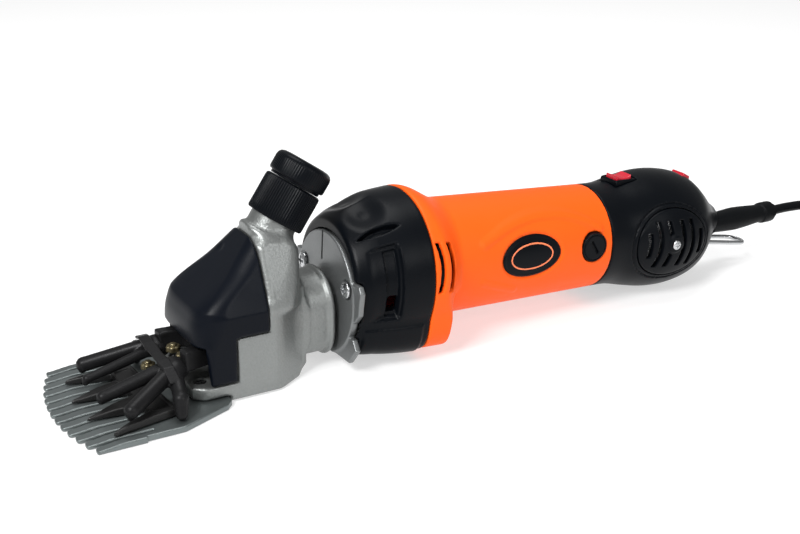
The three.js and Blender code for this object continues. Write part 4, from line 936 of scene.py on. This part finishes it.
def lead_path():
    """Leaves the strain relief, lies on top of the coil, winds it from the inside and ends at the plug."""
    start = [(BOOT_END_X, 0, BOOT_Z), (388, 0, BOOT_Z), (394, 0, BOOT_Z), (406, 0, 22.6), (419, 0, 21),
             (432, 0, 19.1)]
    start += [coil_point(115 - 20 * i, 39.5 - 1.5 * i, 18.3) for i in range(10)]
    start += [coil_point(-85, 24.3, 18.1), coil_point(-105, 22.5, 17.4), coil_point(-125, 21.1, 16.3),
              coil_point(-145, 20.3, 15.0), coil_point(-165, 20.0, 13.6), coil_point(-185, 20, 12.9)]
    points = [tuple(p) for p in curve_through(start, 6)]
    rows, slots = [2.6, 7.7, 12.8], []
    for i, radius in enumerate([20, 25.1, 30.2, 35.3, COIL_RADIUS]):
        slots += [(radius, z) for z in (rows if i % 2 else rows[::-1])]

    def wind(turn, end, radius, z):
        while turn > end:
            points.append(coil_point(turn, radius, z))
            turn -= 4

    def way(k):
        (r0, z0), (r1, z1) = slots[k:k + 2]
        return "out" if r1 > r0 + 1 else "up" if z1 > z0 else "down"

    # the lead changes its place over 32 degrees; `zone` is where the next change begins
    turn, zone, change = -188.0, -400.0, 32.0
    for k, (radius, z) in enumerate(slots[:-1]):
        wind(turn, zone, radius, z)
        r1, z1 = slots[k + 1]
        for i in range(1, 8):
            t = smooth(i / 8)
            points.append(coil_point(zone - change * i / 8, radius + (r1 - radius) * t, z + (z1 - z) * t))
        turn = zone - change
        zone -= 360 if k + 2 < len(slots) and way(k) == way(k + 1) else 324
    end = -90.0 - 14 * 360
    wind(turn, end, *slots[-1])
    points.append(coil_point(end, *slots[-1]))
    y = COIL_Y - COIL_RADIUS
    tail = [points[-1], (455, y, 2.6), (447, y, 2.6), (440.5, y, 2.7), (435.5, y, 3.4), (428.5, y, 6.0),
            (422.5, y, 7.9), (418.3, y, PLUG_Z)]
    points += [tuple(p) for p in curve_through(tail, 5)][1:]
    return points


def make_lead():
    outline = [(0, 338.2), (5.6, 338.2), (5.7, 338.9), (5.0, 339.6), (5.1, 342), (5.5, 347), (5.85, 353),
               (5.9, 356), (5.7, 360), (5.3, 365), (4.85, 370), (4.7, 373), (4.9, 373.8), (5.35, 374.3),
               (5.45, 375.2), (5.45, 380), (5.3, 380.8), (4.6, 381.2), (3.9, 381.6), (3.7, 383.4), (0, 383.4)]
    verts, faces = lathe(outline, 72)
    place = TOOL @ Matrix.Translation((0, 0, BOOT_Z)) @ ALONG
    boot = mesh_piece("strain_relief_look", verts, faces, place, RUBBER, replaces=["strain_relief_boot"])
    path = lead_path()
    data = bpy.data.curves.new("lead", "CURVE")
    data.dimensions = "3D"
    data.bevel_depth = CORD_RADIUS * 0.001
    data.bevel_resolution = 4
    data.use_fill_caps = True
    line = data.splines.new("POLY")
    line.points.add(len(path) - 1)
    for point, p in zip(line.points, path):
        q = TOOL @ Vector(p) * 0.001
        point.co = (q.x, q.y, q.z, 1.0)
    lead = bpy.data.objects.new("lead", data)
    link(lead)
    finish_object(lead, RUBBER, replaces=["power_cord", "cord_coil", "cord_tail"])

    g = Field((12.5, -6, -0.8), (47, 6, 19), 0.3)
    loop = [(16.4, 0.3), (16.4, 15.9), (43.5, 15.9), (43.5, 0.3), (44.7, 0.3), (44.9, 16.4), (44.2, 17.2),
            (15.8, 17.2), (15.1, 16.4), (15.2, 0.3)]
    d = inter(polygon(g.x, g.z, loop), np.abs(g.y) - 3.9, 0.3)
    lock = inter(rounded_bar(g.x - 30, g.y, 4.5, 5.0, 1.0), slab(g.z, 16, 18.3), 0.5)
    d = union(d, lock, 0.4)
    place = TOOL @ Matrix.Translation((COIL_X, COIL_Y, 0)) @ Matrix.Rotation(radians(157), 4, "Z")
    tie = field_piece("cord_tie_look", g, d, place, BLACK, slot="tie_plastic", even=1)

    lane = COIL_Y - COIL_RADIUS
    g = Field((380, -15.5, -1), (420.5, 15.5, 17.5), 0.4)
    outline = [(418, -3.9), (418, 3.9), (404, 6), (398, 13), (384, 13.4), (382, 12), (382, -12), (384, -13.4),
               (398, -13), (404, -6)]
    profile = [(419, 4.2), (402, 0.4), (378, 0.4), (378, 16), (402, 16), (419, 12.2)]
    d = inter(polygon(g.x, g.y, outline), polygon(g.x, g.z, profile), 2.2)
    d = d + 0.45 * smooth(1.4 * np.cos((g.x - 404) * 2 * pi / 3.2)) * (g.x > 404.4) * (g.x < 416)
    d = cut(d, np.maximum(rounded_bar(g.x - 390, g.y, 5, 9, 2), 15.5 - g.z), 0.3)
    plug = field_piece("plug_body_look", g, d, TOOL @ Matrix.Translation((0, lane, 0)), RUBBER)
    verts, faces = lathe([(0, 363), (1.2, 363.1), (1.8, 363.7), (2, 364.6), (2, 381.7), (0, 381.7)], 40)
    for side, sign in SIDES:
        place = TOOL @ Matrix.Translation((0, lane + sign * 9.5, PLUG_Z)) @ ALONG
        mesh_piece(f"plug_pin_{side}_look", verts, faces, place, BRIGHT)


# ---- the set

def make_stage():
    mesh = bpy.data.meshes.new("floor")
    half, below = 8, -0.0002  # metres; the floor lies just below the tool
    corners = [(-half, -half, below), (half, -half, below), (half, half, below), (-half, half, below)]
    mesh.from_pydata(corners, [], [(0, 1, 2, 3)])
    floor = bpy.data.objects.new("floor", mesh)
    link(floor)
    mat = bpy.data.materials.new("paper")
    mat.use_nodes = True
    shader = mat.node_tree.nodes["Principled BSDF"]
    for socket, value in (("Base Color", (0.5, 0.5, 0.5, 1)), ("Emission Color", (1, 1, 1, 1)),
                          ("Emission Strength", 0.55), ("Roughness", 0.9), ("Specular IOR Level", 0.1)):
        shader.inputs[socket].default_value = value
    floor.data.materials.append(mat)
    world = bpy.data.worlds.new("studio")
    world.use_nodes = True
    background = world.node_tree.nodes["Background"]
    background.inputs["Color"].default_value = (1, 1, 1, 1)
    background.inputs["Strength"].default_value = 0.34
    bpy.context.scene.world = world
    lights = (("key", (-0.9, -0.5, 1.0), 0.5, 18.0), ("top", (0.1, 0.25, 1.4), 0.9, 11.0),
              ("front", (0.3, -1.25, 0.75), 0.6, 4.5))
    for name, place, size, power in lights:
        lamp = bpy.data.lights.new(name, "AREA")
        lamp.shape = "DISK"
        lamp.size = size
        lamp.energy = power
        obj = bpy.data.objects.new(name, lamp)
        obj.location = place
        obj.rotation_euler = (Vector(place) - Vector((0, 0, 0.02))).to_track_quat("Z", "Y").to_euler()
        link(obj)
    bpy.context.scene.view_settings.view_transform = "Standard"


make_comb()
make_cutter()
make_fork()
make_head()
make_front_cover()
make_knob()
make_gear_plate()
make_gear_housing()
make_gears()
make_motor_housing()
for side_name, side_sign in SIDES:
    make_badge(side_name, side_sign)
    make_brush_cap(side_name, side_sign)
make_rear_housing()
for side_name, side_sign in SIDES:
    make_vent(side_name, side_sign)
make_switches()
make_hang_loop()
make_lead()
make_stage()
